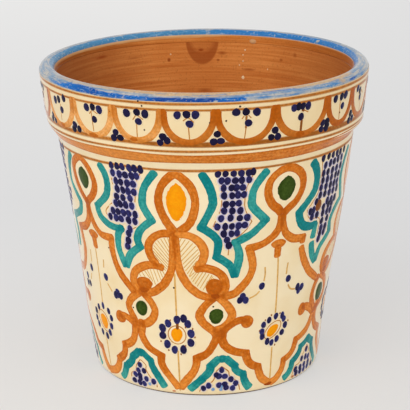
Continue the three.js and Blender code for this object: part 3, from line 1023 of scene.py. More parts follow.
for order, stroke in enumerate(scallop_strokes):
    brush_load = FRONT_LOADS[order] if order < len(FRONT_LOADS) else 0.5 + 0.25 * math.sin(2.1 * order)
    scallop_height = stroke["points"][..., 1]
    at_foot = 0.25 * (1 - soft_step(scallop_height, 243, 249))
    leg_load.append(brush_load + at_foot + 0.3 * soft_step(scallop_height, 254, 264))
# Touches where the brush set off at the foot of a scallop: turn, height, width, how tall, and load
FOOT_TOUCHES = [
    (-58.3, 243.6, 10, 5.2, 0.35), (-40.7, 242.8, 13.5, 5.2, 0.4), (-24.2, 244.8, 8.4, 4.8, 0.45),
    (12.8, 244, 14, 5.2, 1.0), (33, 245.4, 11.5, 5.6, 0.9),
]
scallop_strokes += daubs([spot[:4] for spot in FOOT_TOUCHES], 16, thick=1.8)
leg_load += [spot[4] for spot in FOOT_TOUCHES]
add_brushwork("collar_scallops", scallop_strokes, scallop_ochre, leg_load)

# Turquoise bands
# Copper turquoise, brushed in stepped strokes as borders down both sides of each bunch of grapes and as
# gables along the foot. The brush was full, so the colour is even and a little darker where it pooled.
BAND_WIDTH = 7.7
WIDE_BAND_WIDTH = 8.7
FULL_BRUSH = 0.35
BUNCH_LEFT = [
    [(-43.6, 215), (-41.1, 206.7), (-40.3, 198.3), (-40.7, 190.8), (-42.5, 183.3), (-48, 172.7),
     (-48, 172.7), (-47.6, 166.7), (-45.9, 161.7), (-42.3, 157.5), (-38.7, 156.3), (-34.4, 156.7)],
    [(-35, 159), (-37.6, 151.7), (-38.4, 143.3), (-38.4, 136.7), (-37.3, 128.3), (-35.4, 119.5)],
    [(-18.4, 215.5), (-21.4, 206.7), (-23.6, 198.3), (-24.6, 189.2), (-24.4, 180.8), (-21.4, 168.8),
     (-21.4, 168.8), (-25.8, 160.8), (-27.8, 154.2), (-28.4, 147.5), (-27.4, 142.2), (-27.4, 142.2),
     (-30.2, 137.9), (-33, 131.7), (-35.7, 119.5)],
]
BUNCH_MIDDLE = [
    [(-1.9, 216), (0.2, 207.5), (1.6, 200), (2.4, 191.7), (2, 183.3), (-2, 165), (-2, 165),
     (0.4, 161.4), (3, 156.7), (4.6, 150), (3.9, 137), (3.9, 137), (7, 132.5), (9.8, 126.7), (11.6, 116)],
    [(23.1, 215.5), (20, 206.7), (17.9, 198.3), (17.3, 190), (17.9, 181.7), (23.4, 168.3), (23.4, 168.3),
     (20.4, 161.7), (17.1, 155.8), (11.3, 149.8), (11.3, 149.8),
     (12.7, 142.5), (13.1, 135), (12.5, 126.7), (11.3, 116)],
]
BUNCH_RIGHT = [
    [(43, 215.5), (45.4, 208.3), (46.7, 200), (46.7, 192.5), (45.4, 184.2), (38.8, 169.2), (38.8, 169.2),
     (39.6, 162), (41.7, 155.8), (45.4, 152.9), (50.4, 152.9)],
    [(49.6, 155), (48.5, 139.4)],
    [(48.3, 137), (49, 129.2), (50.4, 121.7), (53.2, 114.6)],
    [(72, 214), (68.3, 203.3), (66.3, 193.3), (66.7, 182.5), (69.8, 166.7), (69.8, 166.7), (65.4, 161.7),
     (62.1, 155), (60.8, 147.5), (61.8, 139.2), (61.8, 139.2), (58.3, 133.3), (55, 127.5), (52.4, 115)],
]
BUNCH_FAR_LEFT = [
    [(-63, 215), (-66.5, 204), (-68, 193), (-67.5, 183), (-61.2, 169.5), (-61.2, 169.5),
     (-62.5, 161), (-67, 155), (-73, 150), (-73, 150), (-72, 141), (-71.6, 134), (-73, 120)],
]
GABLE_LEFT = [
    [(-33, 38), (-34.6, 35.2), (-36.2, 32.3), (-37.8, 29.8), (-37.8, 29.8), (-39.2, 24), (-43, 17.4),
     (-43, 17.4), (-43.9, 12.6), (-45.2, 7.6), (-47.4, 3.4)],
    [(-32.5, 38), (-30.6, 34.6), (-27.6, 30), (-27.6, 30), (-27, 24.4), (-24.8, 16.5), (-20.9, 4.2)],
]
GABLE_MIDDLE = [
    [(6, 37.4), (4, 34), (1.5, 29), (1.5, 29), (1, 24.2), (-0.8, 19.6), (-3, 15.6)],
    [(-1.6, 17.6), (-4.4, 12.4), (-9, 4.4)],
    [(8, 37.4), (10, 33.6), (12.9, 28.2), (12.9, 28.2), (13.8, 23), (17, 19.2), (17, 19.2),
     (17.8, 13), (19, 8), (21, 3)],
]
GABLE_RIGHT = [
    [(57, 35.8), (54.6, 33), (51, 30.6), (51, 30.6), (50, 24.6), (45.6, 18.8), (45.6, 18.8),
     (45.2, 13.8), (43.6, 8.5), (40, 4)],
    [(57.4, 35.8), (59.6, 32.4), (62.2, 29.6), (62.2, 29.6), (62.4, 24.5), (64.4, 17.8), (69.6, 4)],
]

bands = BUNCH_LEFT + again(BUNCH_MIDDLE, BELL_AGAIN) + again(BUNCH_RIGHT[1:], BELL_AGAIN) + BUNCH_FAR_LEFT
bands += again(BUNCH_MIDDLE[:1], GABLE_AGAIN[-1:])[1:]
bands += GABLE_LEFT + again(GABLE_MIDDLE, GABLE_AGAIN) + again(GABLE_RIGHT, BELL_AGAIN)
wide_bands = again(BUNCH_RIGHT[:1], BELL_AGAIN)
band_strokes = brushed(BAND_WIDTH, bands) + brushed(WIDE_BAND_WIDTH, wide_bands)
# Tops of the gables, where both strokes were set on: turn, height, width and how tall
peaks = [(-32.8, 36.2, 10, 9)] + turned_on([(7, 36, 10, 8.4)], GABLE_AGAIN)
peaks += turned_on([(57.2, 35.4, 10, 8)], BELL_AGAIN)
band_strokes += daubs(peaks, 24, thick=1.2)
band_load = []
for order, stroke in enumerate(band_strokes):
    band_height = stroke["points"][..., 1]
    dry = 0.5 * (1 - soft_step(band_height, 4, 16))
    gable = 0.25 * (1 - soft_step(band_height, 42, 60))
    band_load.append(0.15 * np.sin(stroke["along"] / 11 + order) - dry + gable + 0.05)
for points in [BUNCH_MIDDLE[0], *wide_bands]:
    for order in stroke_numbers(bands + wide_bands, points):
        band_load[order] += FULL_BRUSH
turquoise = fired_colour("copper turquoise colour", "#46A89C", "#188684", "#00747A", pooled=0.3)
add_brushwork("turquoise_bands", band_strokes, turquoise, band_load)

# Yellow and green fills
# Antimony yellow in the shell panel's almond and in the daisy hearts, copper green in the drops and ovals.
# They are laid on wet and full, so they pool to low domes.
HEART_LEAN = 0.35
# Each fill is a turn, a height, a width and how tall it is
almonds = turned_on([(-11.2, 188.6, 18.4, 37)], SHELL_AGAIN)
hearts = turned_on([(-13.7, 59.8, 11, 14.2)], SHELL_AGAIN)
slanted_hearts = turned_on([(31, 57.8, 11.2, 12.4)], BELL_AGAIN)
left_heart = [(-55.7, 55.6, 12, 14.8)]
drops = turned_on([(31.5, 195.4, 19, 24)], BELL_AGAIN) + [(-54.9, 196, 17, 21)]
ovals = turned_on([(4, 79.1, 13.2, 15.6)], OVAL_AGAIN) + [(-29.8, 81.8, 12.2, 14.8), (62.3, 79.1, 14.2, 18.4)]
yellow_fills = daubs(almonds, 36, peak=0.9) + daubs(hearts, 24)
yellow_fills += daubs(slanted_hearts, 24, lean=HEART_LEAN) + daubs(left_heart, 24, lean=-HEART_LEAN / 2)
green_fills = daubs(drops, 36, peak=0.8) + daubs(ovals, 24)
yellow = fired_colour("antimony yellow colour", "#FDA80A", "#F89200", "#E68000", pooled=0.3, grit=0.02)
green = fired_colour("copper green colour", "#445A1E", "#2E420C", "#203006", pooled=0.4, grit=0.05)
add_brushwork("yellow_fills", yellow_fills, yellow)
add_brushwork("green_fills", green_fills, green)

# Cobalt dots
# Touches of a small brush full of cobalt: grapes in the bunches, petals of the daisies, sprigs on the collar.
# Each is thick and almost black in its middle and bleeds violet-blue into the cream round it.
DOT_THICKNESS = 1.8
BLEED_THICKNESS = 0.2
# Heights at which the dots lie on the brown line at the top of the wall, which hides their bleed
ON_TOP_LINE = (211, 222)
# Grapes of a bunch, row by row: height, and the turns of its grapes
GRAPES_LEFT = [
    (215.4, (-36.9, -34.3, -32, -28.9, -26.7, -24.3)),
    (208.8, (-36.7, -33.6, -31, -28.3, -26.2)),
    (201.5, (-35.6, -33.4, -30.5, -27.9)),
    (194, (-35.4, -32.8, -30.5, -28)),
    (187, (-36.2, -33.2, -29.9)),
    (179.8, (-37, -34.9, -32.3, -29.5)),
    (172.6, (-39, -36.5, -33.8, -31.3, -28.4)),
    (165.8, (-40.8, -37.8, -35.3, -31.7, -28.8)),
    (157.7, (-31.5,)), (152.9, (-32.4,)), (146.3, (-32.9,)), (140.8, (-33.6,)),
]
GRAPES_MIDDLE = [
    (214.5, (4.3, 7, 10, 12.8, 15.6, 17.2)),
    (208, (5.6, 7.8, 10.6, 13, 15.8)),
    (201, (6.4, 9.3, 11.1, 13.5)),
    (194, (6.6, 9.6, 11.8, 14)),
    (186.5, (7.3, 9.8, 12.2)),
    (180, (6.7, 9.8, 12.9)),
    (173, (5.6, 9.2, 12.8, 15.7)),
    (165.5, (4.2, 7.2, 9.8, 12.4, 14.8)),
    (158.5, (6.7, 9.7, 11.9)),
    (152.9, (8,)), (147, (8.8,)),
]
GRAPES_RIGHT = [
    (214.5, (49.4, 52.9, 56, 59.2, 62.1, 65.8)),
    (207.5, (51.3, 54.6, 57.5, 60.6, 64)),
    (200, (50.6, 53.5, 56.9, 60.2, 63.8)),
    (193.3, (50.6, 53.7, 56.7, 60.2, 62.9)),
    (186.5, (50, 53.3, 56.7, 59.6, 62.3)),
    (179.5, (50, 53.1, 56.5, 59.6, 62.9)),
    (175, (48.1,)),
    (171.5, (55.8, 59, 62.1)),
    (167, (45, 46.9, 53.5, 57.3, 60)),
    (161.5, (46.3, 49.4, 53.5, 56.7, 59.4)),
    (154, (53.5, 57.5)), (147, (53.8, 56.9)), (142, (53.5, 56.3)), (136.7, (52.9,)),
]
GABLE_DOTS_LEFT = [
    (-34.2, 22.8), (-32.1, 17.4), (-35.4, 16.6), (-37.5, 11.6), (-34.8, 12), (-34.7, 9), (-31.1, 9.6),
    (-27.1, 8.4), (-38.5, 5.2), (-35.3, 4.4), (-32.6, 4.2),
]
GABLE_DOTS_MIDDLE = [
    (6.7, 24.8), (4.2, 20), (5.4, 18.6), (8.2, 18.2), (11.2, 14.8), (-2, 6.5), (0.5, 9.2), (5.5, 9.4),
    (8.2, 9.9), (8.9, 6.6), (12.1, 5.6), (13.6, 10.4),
]
GABLE_DOTS_RIGHT = [
    (57.1, 24.5), (53.5, 17), (57.1, 16.6), (60, 15.3), (49, 8.7), (52.9, 8.7), (56.5, 9.5), (60.6, 9.2),
    (49.8, 4.6), (53.2, 4.6), (56.7, 4.6), (60.2, 5.3), (65, 4.6),
]
DAISY_SHELL = [
    (-13.3, 74.7), (-10.3, 76.3), (-8.5, 71), (-7.2, 61.6), (-7.4, 52.5), (-10.9, 45.3), (-15, 44.5),
    (-18.4, 49.5), (-20.3, 57.8), (-20.2, 65), (-17.5, 70.2),
]
DAISY_BELL = [
    (32.3, 71.6), (28.8, 69.1), (26.1, 65.3), (25.5, 58.7), (25.8, 53.7), (28.6, 47.8), (31, 45.8),
    (33.8, 48.3), (36.5, 53.7), (38, 60.3), (36.9, 67), (35.8, 70.8),
]
DAISY_LEFT = [
    (-55.1, 71.2), (-59.4, 67.4), (-62.6, 62), (-63, 54.5), (-61.6, 49.1), (-58.9, 42.8), (-54.8, 41.2),
    (-51.9, 46.2), (-50, 53.7), (-49.4, 62), (-50.9, 68.2),
]
SPRIG_BELL = [
    (23.8, 104.6), (14.2, 93.3), (15.4, 97), (16.7, 92.8), (36.9, 106.7), (43.1, 95.3), (44, 91.2),
    (45.8, 94.1),
]
SPRIG_LEFT = [
    (-61, 105.4), (-67.6, 93.7), (-68.4, 86.2), (-65.5, 87), (-49.4, 102.9), (-42.6, 91.6), (-44, 88.2),
    (-40.9, 88.4), (-42.4, 89.4),
]
COLLAR_SIDES = [
    (-61.5, 264.8), (-55, 269.4), (-42.6, 267), (-37, 267), (-26.2, 267.6), (-19.7, 268.2), (-9, 268.6),
    (-3.2, 269.2), (9.8, 270.6), (16.6, 270), (30, 269.6), (35.6, 269.6), (48.7, 269.7), (54.7, 270.8),
    (64.5, 271),
]
COLLAR_MIDDLES = [
    (-58.7, 266.6), (-39.8, 268.4), (-22.5, 269.2), (-6, 269.4), (13, 270.6), (31.7, 270.2), (33.4, 270),
    (52.2, 270.2), (67, 268),
]
COLLAR_DROPS = [
    (-57.3, 257.8), (-39.5, 257.4), (-22.1, 261), (-5.1, 261), (13.9, 260.6), (32.9, 260.7), (53.2, 261.5),
    (67.5, 262),
]
COLLAR_FEET = [
    (-66, 248.5), (-67, 244.5), (-64, 244.5), (-50, 248), (-50.6, 243.8), (-47.7, 245), (-31, 249),
    (-31.9, 243.8), (-29.3, 244.6), (-14, 249), (-15, 243.6), (-12.6, 245.6), (3.8, 252), (2.6, 245.2),
    (4.9, 245.8), (23.3, 252), (22, 246), (24.4, 246), (43, 251), (45.2, 251.5), (45.2, 248),
    (42.4, 245.5), (44.8, 245.2), (60, 251), (59, 245), (61.5, 246),
]


def grapes(bunch):
    """Places of a bunch's grapes, each a little above or below its row."""
    return [(turn, height + 0.4 * math.sin(2.3 * turn)) for height, turns in bunch for turn in turns]


middle_grapes = grapes(GRAPES_MIDDLE)
gable_dots = GABLE_DOTS_LEFT + turned_on(GABLE_DOTS_MIDDLE, GABLE_AGAIN)
gable_dots += turned_on(GABLE_DOTS_RIGHT, BELL_AGAIN)
sprigs = turned_on(SPRIG_BELL, BELL_AGAIN) + SPRIG_LEFT
daisies = turned_on(DAISY_BELL, BELL_AGAIN) + DAISY_LEFT
sides, middles, collar_drops, collar_feet = (
    list(spots) for spots in (COLLAR_SIDES, COLLAR_MIDDLES, COLLAR_DROPS, COLLAR_FEET)
)
back = len(FRONT_DIVIDERS)
for left, right in zip(dividers[back:], dividers[back + 1:-1] + [dividers[-1] - 4]):
    middle = (left + right) / 2
    sides += [(middle - 3.1, 268.5), (middle + 3.2, 268.8)]
    middles.append((middle + 0.2, 269.6))
    collar_drops.append((middle + 0.4, 260.5))
for divider in dividers[back:-1]:
    collar_feet += [(divider, 250), (divider - 1.2, 244.6), (divider + 1.3, 245.2)]
# Groups of dots: width, how tall, how much wider it bled, load, and places
dot_groups = [
    (6.5, 8.0, 4.0, 0.35, grapes(GRAPES_LEFT)),
    (6.2, 7.5, 4.0, 0.45, turned_on(middle_grapes, BELL_AGAIN)),
    (6.4, 7.9, 4.0, 0.6, turned_on(grapes(GRAPES_RIGHT), BELL_AGAIN)),
    (5.0, 7.0, 3.0, 0.1, [(turn + GABLE_AGAIN[-1], height) for turn, height in middle_grapes]),
    (5.6, 6.6, 3.0, 0.25, gable_dots),
    (6.8, 9.2, 1.6, 0.3, turned_on(DAISY_SHELL, SHELL_AGAIN)),
    (5.4, 7.4, 1.6, 0.3, daisies),
    (6.2, 7.6, 1.6, 0.3, sprigs),
    (7.3, 8.2, 1.0, 0.5, sides),
    (6.9, 7.8, 1.0, 1.0, middles),
    (7.0, 7.0, 1.0, 0.5, collar_drops),
    (7.1, 6.9, 1.0, 0.8, collar_feet),
]
dots = []
dot_load = []
bleeds = []
for width, tall, spread, load, spots in dot_groups:
    for order, (turn, height) in enumerate(spots):
        wide = width * (1 + 0.06 * math.sin(5 * order))
        high = tall * (1 + 0.06 * math.sin(3 * order))
        dots.append(daub(turn, height, wide, high, order, thick=DOT_THICKNESS))
        dot_load.append(load + 0.2 * math.sin(1.7 * order))
        if not ON_TOP_LINE[0] < height < ON_TOP_LINE[1]:
            bleeds.append(daub(turn, height, wide + spread, high + 0.8 * spread, order, 10, BLEED_THICKNESS))
cobalt = fired_colour("cobalt dot colour", "#3E4286", "#262250", "#17132A", streak=0.35, edge=0.88)
bleed = fired_colour(
    "cobalt bled into the glaze", "#CBC4D8", "#B4AED2", "#AAA4CE", edge=0.6, fade=1.0, grit=0.03,
)
add_brushwork("cobalt_bleed", bleeds, bleed)
add_brushwork("cobalt_dots", dots, cobalt, dot_load)
PALE_DOTS = [(-29.4, 5.2, 4.2, 4.6), (2.6, 5.4, 4.2, 4.6), (6.4, 5, 4.2, 4.6), (6.8, 8, 4.2, 4.6)]
pale_cobalt = fired_colour("thin cobalt wash", "#8FB0D8", "#5E86BE", "#4A70AE", edge=0.5, fade=0.7)
add_brushwork("pale_blue_dots", daubs(turned_on(PALE_DOTS, BELL_AGAIN), 12), pale_cobalt)

# Fine lines
# Thin brown drawing with the tip of a liner brush: stems, tendrils, the shell's hatching, and the outlines
# that the bunches, hearts and gables were set out with before they were filled.
FINE_WIDTH = 1.1
HATCH_WIDTH = 0.9
STEM_WIDTH = 1.7
SHELL_LINES = [[(-13.3, 120), (-13.4, 78)], [(-13.5, 44), (-13.4, 3)]]
BELL_LINES = [
    [(30.4, 130), (30.8, 120), (31.5, 95), (31.8, 75)],
    [(31.5, 41), (31.7, 3)],
    [(24.6, 122.9), (24.9, 115.8), (24.6, 109.2)],
    [(22.9, 100), (21.3, 96.7), (18.3, 94)],
    [(35.8, 122.9), (35.6, 117.5), (35.5, 111.7)],
    [(37.1, 100.8), (38.8, 95.8), (41.7, 94)],
]
LEFT_BELL_LINES = [
    [(-54.3, 128), (-54.6, 95), (-55.1, 74.5)],
    [(-56, 40), (-56.4, 5)],
    [(-59.4, 124.2), (-60, 111.7)],
    [(-62, 99), (-63.6, 92)],
    [(-49.4, 120), (-50, 111.7)],
    [(-48.7, 97), (-46.2, 90.3)],
]
LEFT_BUNCH_LINES = [
    [(-38, 216), (-37.5, 200), (-36.8, 190), (-38.5, 181), (-43, 170.5), (-41.5, 165), (-37, 161.5)],
    [(-24, 214), (-26.5, 203), (-27.5, 190), (-28, 180), (-27.2, 170), (-28, 162), (-30.5, 158)],
]
MIDDLE_BUNCH_LINES = [
    [(3.4, 216), (5, 208), (5.6, 200), (5.8, 190), (5.2, 180), (2.6, 166), (2.6, 166), (5.5, 160),
     (8.5, 146), (8.6, 138)],
    [(18.2, 216), (16, 206), (15, 200), (14.5, 190), (14.8, 180), (17.6, 168.5), (17.6, 168.5), (15, 160),
     (10.4, 152)],
]
RIGHT_BUNCH_LINES = [
    [(48.2, 216), (49.4, 205), (49, 193), (48.4, 183), (43, 169), (43, 169), (45, 160.5), (51.4, 157),
     (51.6, 142)],
]
GABLE_LINES = [
    [(-33.6, 28.5), (-36.4, 21), (-36.8, 15.5), (-39.9, 12), (-40.5, 3)],
    [(-33.4, 28.5), (-30.6, 24), (-30.8, 19.5), (-28.8, 12.5), (-25.8, 8), (-25.4, 3)],
    [(6.6, 28.5), (4, 23), (3, 15.5), (1, 11.5), (-2.4, 9), (-3.9, 3)],
    [(6.6, 28.5), (9.9, 23), (10.4, 18.5), (13.4, 13.5), (15, 8.5), (15.7, 3)],
    [(57, 29), (54.5, 22), (51.5, 14), (48, 12), (46.5, 3.5)],
    [(57.2, 29), (60, 22), (62.5, 14), (66, 3.5)],
]
COLLAR_STEMS = [
    [(-58.4, 248), (-57.8, 263)],
    [(-40.4, 246.5), (-40.6, 264)], [(-40.3, 265), (-41.6, 261.6)], [(-39.6, 265), (-37.8, 262.8)],
    [(-22.9, 247), (-22.8, 259)], [(-23, 266), (-24.1, 262)], [(-22.2, 266), (-20.4, 263)],
    [(-5.2, 247), (-5.5, 259)], [(-5.6, 267), (-3.7, 262.4)], [(-6, 266), (-7.2, 263.6)],
    [(12.7, 247), (13.1, 256), (13.2, 268.5)], [(12.9, 268.5), (11.7, 264.4)], [(13.4, 268.5), (14.8, 264.8)],
    [(33.4, 267), (35.8, 263.8)], [(51.8, 250), (51.5, 265)], [(51.4, 268), (51.7, 264)],
]
# Touches of the liner round the petals of the daisies
TICKS_SHELL = [
    (-16.4, 73.6), (-21.4, 51.5), (-17.9, 43.4), (-12.1, 40.4), (-9.9, 49), (-5.5, 58), (-6.4, 66.4),
    (-9.6, 67.6),
]
TICKS_BELL = [(26.8, 69.6), (29.8, 73.6), (34.4, 73.6), (39.6, 63.8), (24.2, 60), (33, 42.6)]
# Stems drawn with the side of the liner: width and points
THICK_STEMS = [
    (2.6, [(-13.2, 73), (-13.3, 65)]),
    (2.4, [(33.2, 245), (33.3, 258)]),
    (2.6, [(33, 266.6), (34.2, 266)]),
    (1.8, [(13.2, 268), (13.1, 256)]),
]
# Hatching of the four lobes of the shell: the curve its lines start on, the curve they end on, and how many
HATCHING = [
    ([(-15.4, 154.6), (-18, 153), (-20.4, 149.5), (-21.7, 144.5), (-21.9, 139.5), (-20.6, 132)],
     [(-14.7, 148), (-14.8, 140), (-15, 134), (-15.4, 129), (-16, 125), (-17, 122)], 10),
    ([(-9.8, 154.6), (-7, 152.4), (-4.6, 148.5), (-3, 143), (-2.8, 138.5), (-5.2, 127)],
     [(-10.9, 149), (-10.7, 141), (-10.3, 134), (-9.6, 128), (-8.6, 122.5), (-7.2, 118)], 10),
    ([(-18.6, 122.6), (-21, 123.4), (-24, 122.8), (-27, 121), (-29.6, 117)],
     [(-17.6, 118), (-19.4, 112.5), (-22, 107.5), (-24.2, 112.4), (-28.6, 113.4)], 9),
    ([(-5, 122), (-3, 122.4), (-0.3, 121.8), (2.2, 119.6), (3, 116.5)],
     [(-7, 117.6), (-5.8, 113), (-4, 108.5), (-1.6, 105), (-0.4, 110)], 9),
]


def hatched(starts, ends, count):
    """Lines between two curves, evenly spaced along both."""
    share = np.linspace(0, len(starts) - 1, count)
    tracks = [
        np.column_stack([np.interp(share, np.arange(len(side)), np.array(side)[:, axis]) for axis in (0, 1)])
        for side in (starts, ends)
    ]
    return [[tuple(start), tuple(end)] for start, end in zip(*tracks)]


def loop(turn, height, wide, tall, lean=0.0):
    """Points of an oval drawn in one go, from its half width in degrees, its half height in mm, and how many
    degrees its top leans to the right."""
    around = np.linspace(0.3, math.tau + 0.3, 13)
    out = wide * np.cos(around) + lean * np.sin(around)
    return list(zip(turn + out, height + tall * np.sin(around)))


fine = again([loop(-13.6, 59.5, 4.1, 9)], SHELL_AGAIN)
fine += again([loop(31.2, 58.4, 3.9, 8.3, 2.0)], BELL_AGAIN)
fine += [loop(-55.7, 55.8, 4.3, 10, -1.6), loop(-7.6, 244.3, 0.9, 2)] + LEFT_BUNCH_LINES
fine += again(MIDDLE_BUNCH_LINES, BELL_AGAIN) + again(RIGHT_BUNCH_LINES, BELL_AGAIN) + GABLE_LINES[:2]
fine += again(GABLE_LINES[2:], BELL_AGAIN) + COLLAR_STEMS
for left, right in zip(dividers[back - 1:], dividers[back:]):
    middle = (left + right) / 2
    fine.append([(middle - 0.1, 247), (middle, 268)])
    fine += [[(middle, 268), (middle - 1.6, 264.4)], [(middle, 268), (middle + 1.8, 264.2)]]
fine_strokes = brushed(FINE_WIDTH, fine)
fine_load = [0.0] * len(fine_strokes)
for width, points in THICK_STEMS:
    fine_strokes += brushed(width, [points])
    fine_load.append(0.8)
ticks = turned_on(TICKS_SHELL, SHELL_AGAIN) + turned_on(TICKS_BELL, BELL_AGAIN)
fine_strokes += daubs([(*spot, 1.6, 2.2) for spot in ticks], 8)
fine_load += [0.5] * len(ticks)
# Smear of brown over the grapes on the right
for spot in turned_on([(49.7, 170.6, 9, 12.6)], BELL_AGAIN[:1]):
    fine_strokes.append(daub(*spot, 1, 16, 2.4))
    fine_load.append(0.9)
fine_brown = fired_colour("fine brown colour", "#C98A40", "#B06C24", "#7E4418", edge=0.5, fade=0.35)
add_brushwork("fine_lines", fine_strokes, fine_brown, fine_load)
stems = again(SHELL_LINES, SHELL_AGAIN) + again(BELL_LINES, BELL_AGAIN) + LEFT_BELL_LINES
hatch = again([line for lobe in HATCHING for line in hatched(*lobe)], SHELL_AGAIN)
stem_strokes = brushed(STEM_WIDTH, stems) + brushed(HATCH_WIDTH, hatch)
stem_ochre = fired_colour("thin ochre line colour", "#E2B468", "#CE9848", "#AC6E24", edge=0.6, fade=0.4)
add_brushwork("stems_and_hatching", stem_strokes, stem_ochre)

# Specks
# Iron in the clay burnt out through the glaze as dark pinheads, lime and glaze spat pale specks inside, and
# the glaze chipped off at the foot. Each is a low bump of a few millimetres, melted fast.
# A speck is its size, its turn and its height
IRON_SPECKS = [
    (2.0, -13.9, 106), (1.8, 2.7, 88.5), (1.8, -20, 103), (1.7, -34.3, 80.5), (1.5, -44.6, 134),
    (1.7, -42.5, 126), (1.7, 6.6, 263.4), (1.9, 11, 275.4), (1.9, -21.8, 278.8), (1.8, -20.6, 275),
    (1.6, -32.6, 267), (1.6, -20.2, 254), (1.4, 1.3, 262), (1.6, 52, 256), (1.3, 118, 150),
    (1.5, 160, 96), (1.2, 205, 182), (1.4, 262, 60), (1.3, 231, 255),
]
LIME_SPECKS = [
    (1.7, 162.7, 268.6), (1.5, 163.5, 263.6), (1.5, 163.4, 257.7), (1.4, 164.9, 253.7), (3.2, 163.1, 241.6),
    (1.5, 194.6, 264.5), (1.3, 152, 251.5),
]
# Drip of glaze under the lip, and chips at the foot: turn, height, width and how tall
GLAZE_DRIP = (159.4, 278.2, -9.4, 6.0)
DRIP_LOAD = 0.85
FOOT_CHIPS = [
    (47.2, 2.6, 5.4, 2.6), (50.2, 2, 3.2, 2.2), (-16.5, 2, 3.6, 2.0), (140, 2.2, 4.4, 2.4),
    (222, 2.2, 3.6, 2.6),
]


def on_inside(turn, height, lift):
    """Point on the bare inside, lifted off it towards the axis. It faces the other way than the outside, so a
    daub there has a width under 0."""
    return place(turn, height, inside_radius(height) + hand_drift(turn, height) - lift - RING_DEPTH)


iron = fired_colour("burnt iron speck", "#4A3426", "#2E2220", "#241A18", edge=0.8)
iron_daubs = daubs([(turn, height, size, 1.1 * size) for size, turn, height in IRON_SPECKS], 8)
add_brushwork("iron_specks", iron_daubs, iron)
bare_clay = fired_colour("clay bared at a chip", "#D08C60", "#C07848", "#A85E34", edge=0.8)
add_brushwork("foot_chips", daubs(FOOT_CHIPS, 10, thick=1.4), bare_clay)
lime = fired_colour("popped lime speck", "#F2DDB4", "#E6C592", "#CE9C6C", edge=0.9)
lime_daubs = daubs([(turn, height, -size, size) for size, turn, height in LIME_SPECKS], 8, surface=on_inside)
lime_load = [0.0] * len(lime_daubs) + [DRIP_LOAD]
lime_daubs.append(daub(*GLAZE_DRIP, 3, 20, 2.4, on_inside))
add_brushwork("lime_specks", lime_daubs, lime, lime_load)

# Studio floor
# A sheet of pale matt paper that the pot stands on, laid flat and wide. It takes the pot's shadow, and what
# the camera sees of it glows, so that it stays pale. That glow has painted shade in it: darker just behind
# the pot and towards the right, and paler far off.
FLOOR_REACH = 4.0
FLOOR_GLOW = 0.6


def seen_rays(owner):
    """Share of rays that see the plain pale background: those of the camera, and those that a gloss or glass
    sends on."""
    seen = add_node(owner, "LightPath", out="Is Camera Ray")
    for kind in ("Is Glossy Ray", "Is Transmission Ray"):
        sent = add_node(owner, "LightPath", out=kind)
        seen = add_node(owner, "Math", {0: seen, 1: sent}, operation="MAXIMUM")
    return seen


floor_mesh = bpy.data.meshes.new("floor")
floor_mesh.from_pydata(
    [(FLOOR_REACH * x, FLOOR_REACH * y, 0) for x, y in ((-1, -1), (1, -1), (1, 1), (-1, 1))],
    [], [(0, 1, 2, 3)],
)
floor_material = new_material("pale studio floor")
matt = add_node(floor_material, "BsdfDiffuse", {"Color": linear("#E4E2DF")})
floor_spot = add_node(floor_material, "TexCoord", out="Object")
back_way = add_node(floor_material, "SeparateXYZ", {"Vector": floor_spot}, "Y")
right_way = add_node(floor_material, "SeparateXYZ", {"Vector": floor_spot}, "X")
# Painted shade in the floor's colour: darker from the front to just behind the pot and towards the right,
# paler far off.
floor_shaded_behind = blend(floor_material, back_way, "#E6E4E1", "#DEDFE1", -0.2, 0.5)
floor_paler_far = blend(floor_material, back_way, floor_shaded_behind, "#F4F4F4", 0.5, 2.0)
floor_shaded_right = blend(floor_material, right_way, floor_paler_far, "#D2D3D6", -0.1, 0.6, 0.45)
glow = add_node(floor_material, "Emission", {"Color": floor_shaded_right, "Strength": 1.0})
floor_seen = seen_rays(floor_material)
share_seen = add_node(floor_material, "Math", {0: floor_seen, 1: FLOOR_GLOW}, operation="MULTIPLY")
floor_look = add_node(floor_material, "MixShader", {0: share_seen, 1: matt, 2: glow})
add_node(floor_material, "OutputMaterial", {"Surface": floor_look})
floor_mesh.materials.append(floor_material)
studio_floor = bpy.data.objects.new("studio_floor", floor_mesh)
bpy.context.collection.objects.link(studio_floor)

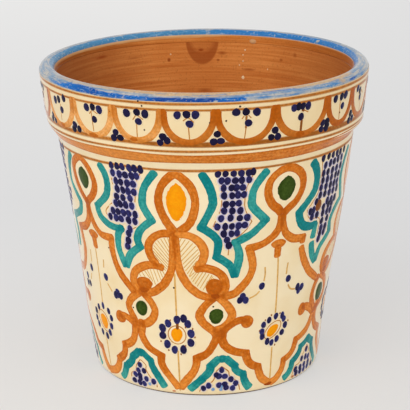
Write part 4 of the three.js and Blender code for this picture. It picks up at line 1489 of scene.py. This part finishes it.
# Sky
# The soft white light of a tent of cloth round the pot, brighter in front of it than behind.
# The camera sees a plain pale grey there.
SKY_IN_FRONT = 1.15
SKY_BEHIND = 0.52
world = bpy.data.worlds.new("soft studio sky")
world.use_nodes = True
world.node_tree.nodes.clear()
sky_spot = add_node(world, "TexCoord", out="Generated")
sky_way = add_node(world, "SeparateXYZ", {"Vector": sky_spot}, "Y")
sky_level = add_node(world, "MapRange", {
    "Value": sky_way, "From Min": -1.0, "From Max": 1.0, "To Min": SKY_IN_FRONT, "To Max": SKY_BEHIND,
})
sky_light = add_node(world, "Background", {"Color": linear("#FFFFFF"), "Strength": sky_level})
sky_seen = add_node(world, "Background", {"Color": linear("#E8E8E8"), "Strength": 1.0})
sky_look = add_node(world, "MixShader", {0: seen_rays(world), 1: sky_light, 2: sky_seen})
add_node(world, "OutputWorld", {"Surface": sky_look})
bpy.context.scene.world = world

# Key lamp
# One large soft box, high in front of the pot and to its left, turned towards its middle.
# It models the pot a little and leaves the rest to the sky.
KEY_DISTANCE = 2.4
KEY_TURN = math.radians(-34)
KEY_RISE = math.radians(46)
KEY_SIZE = 1.4
KEY_POWER = 12.0
key_lamp = bpy.data.lights.new("soft key", "AREA")
key_lamp.size = KEY_SIZE
key_lamp.energy = KEY_POWER
key_light = bpy.data.objects.new("soft_key", key_lamp)
key_light.location = (
    KEY_DISTANCE * math.cos(KEY_RISE) * math.sin(KEY_TURN),
    -KEY_DISTANCE * math.cos(KEY_RISE) * math.cos(KEY_TURN),
    KEY_DISTANCE * math.sin(KEY_RISE) + collar_top / 2 * MM,
)
key_light.rotation_euler = (math.pi / 2 - KEY_RISE, 0, KEY_TURN)
bpy.context.collection.objects.link(key_light)

# Camera
# A long lens, about 1.4 m in front of the pot and a little above its rim, as the photograph was taken.
# Its place, pitch and roll come from the outline of the pot.
CAMERA_PLACE = (-1.0 * MM, -1400.8 * MM, 576.1 * MM)
CAMERA_PITCH = 0.297
CAMERA_ROLL = -0.0082
CAMERA_LENS = 137.28
camera_data = bpy.data.cameras.new("camera")
camera_data.lens = CAMERA_LENS
camera_data.sensor_width = 36.0
camera = bpy.data.objects.new("camera", camera_data)
camera.location = CAMERA_PLACE
look = Matrix.Rotation(math.pi / 2 - CAMERA_PITCH, 3, "X") @ Matrix.Rotation(CAMERA_ROLL, 3, "Z")
camera.rotation_euler = look.to_euler()
bpy.context.collection.objects.link(camera)
bpy.context.scene.camera = camera
bpy.context.scene.view_settings.view_transform = "Standard"
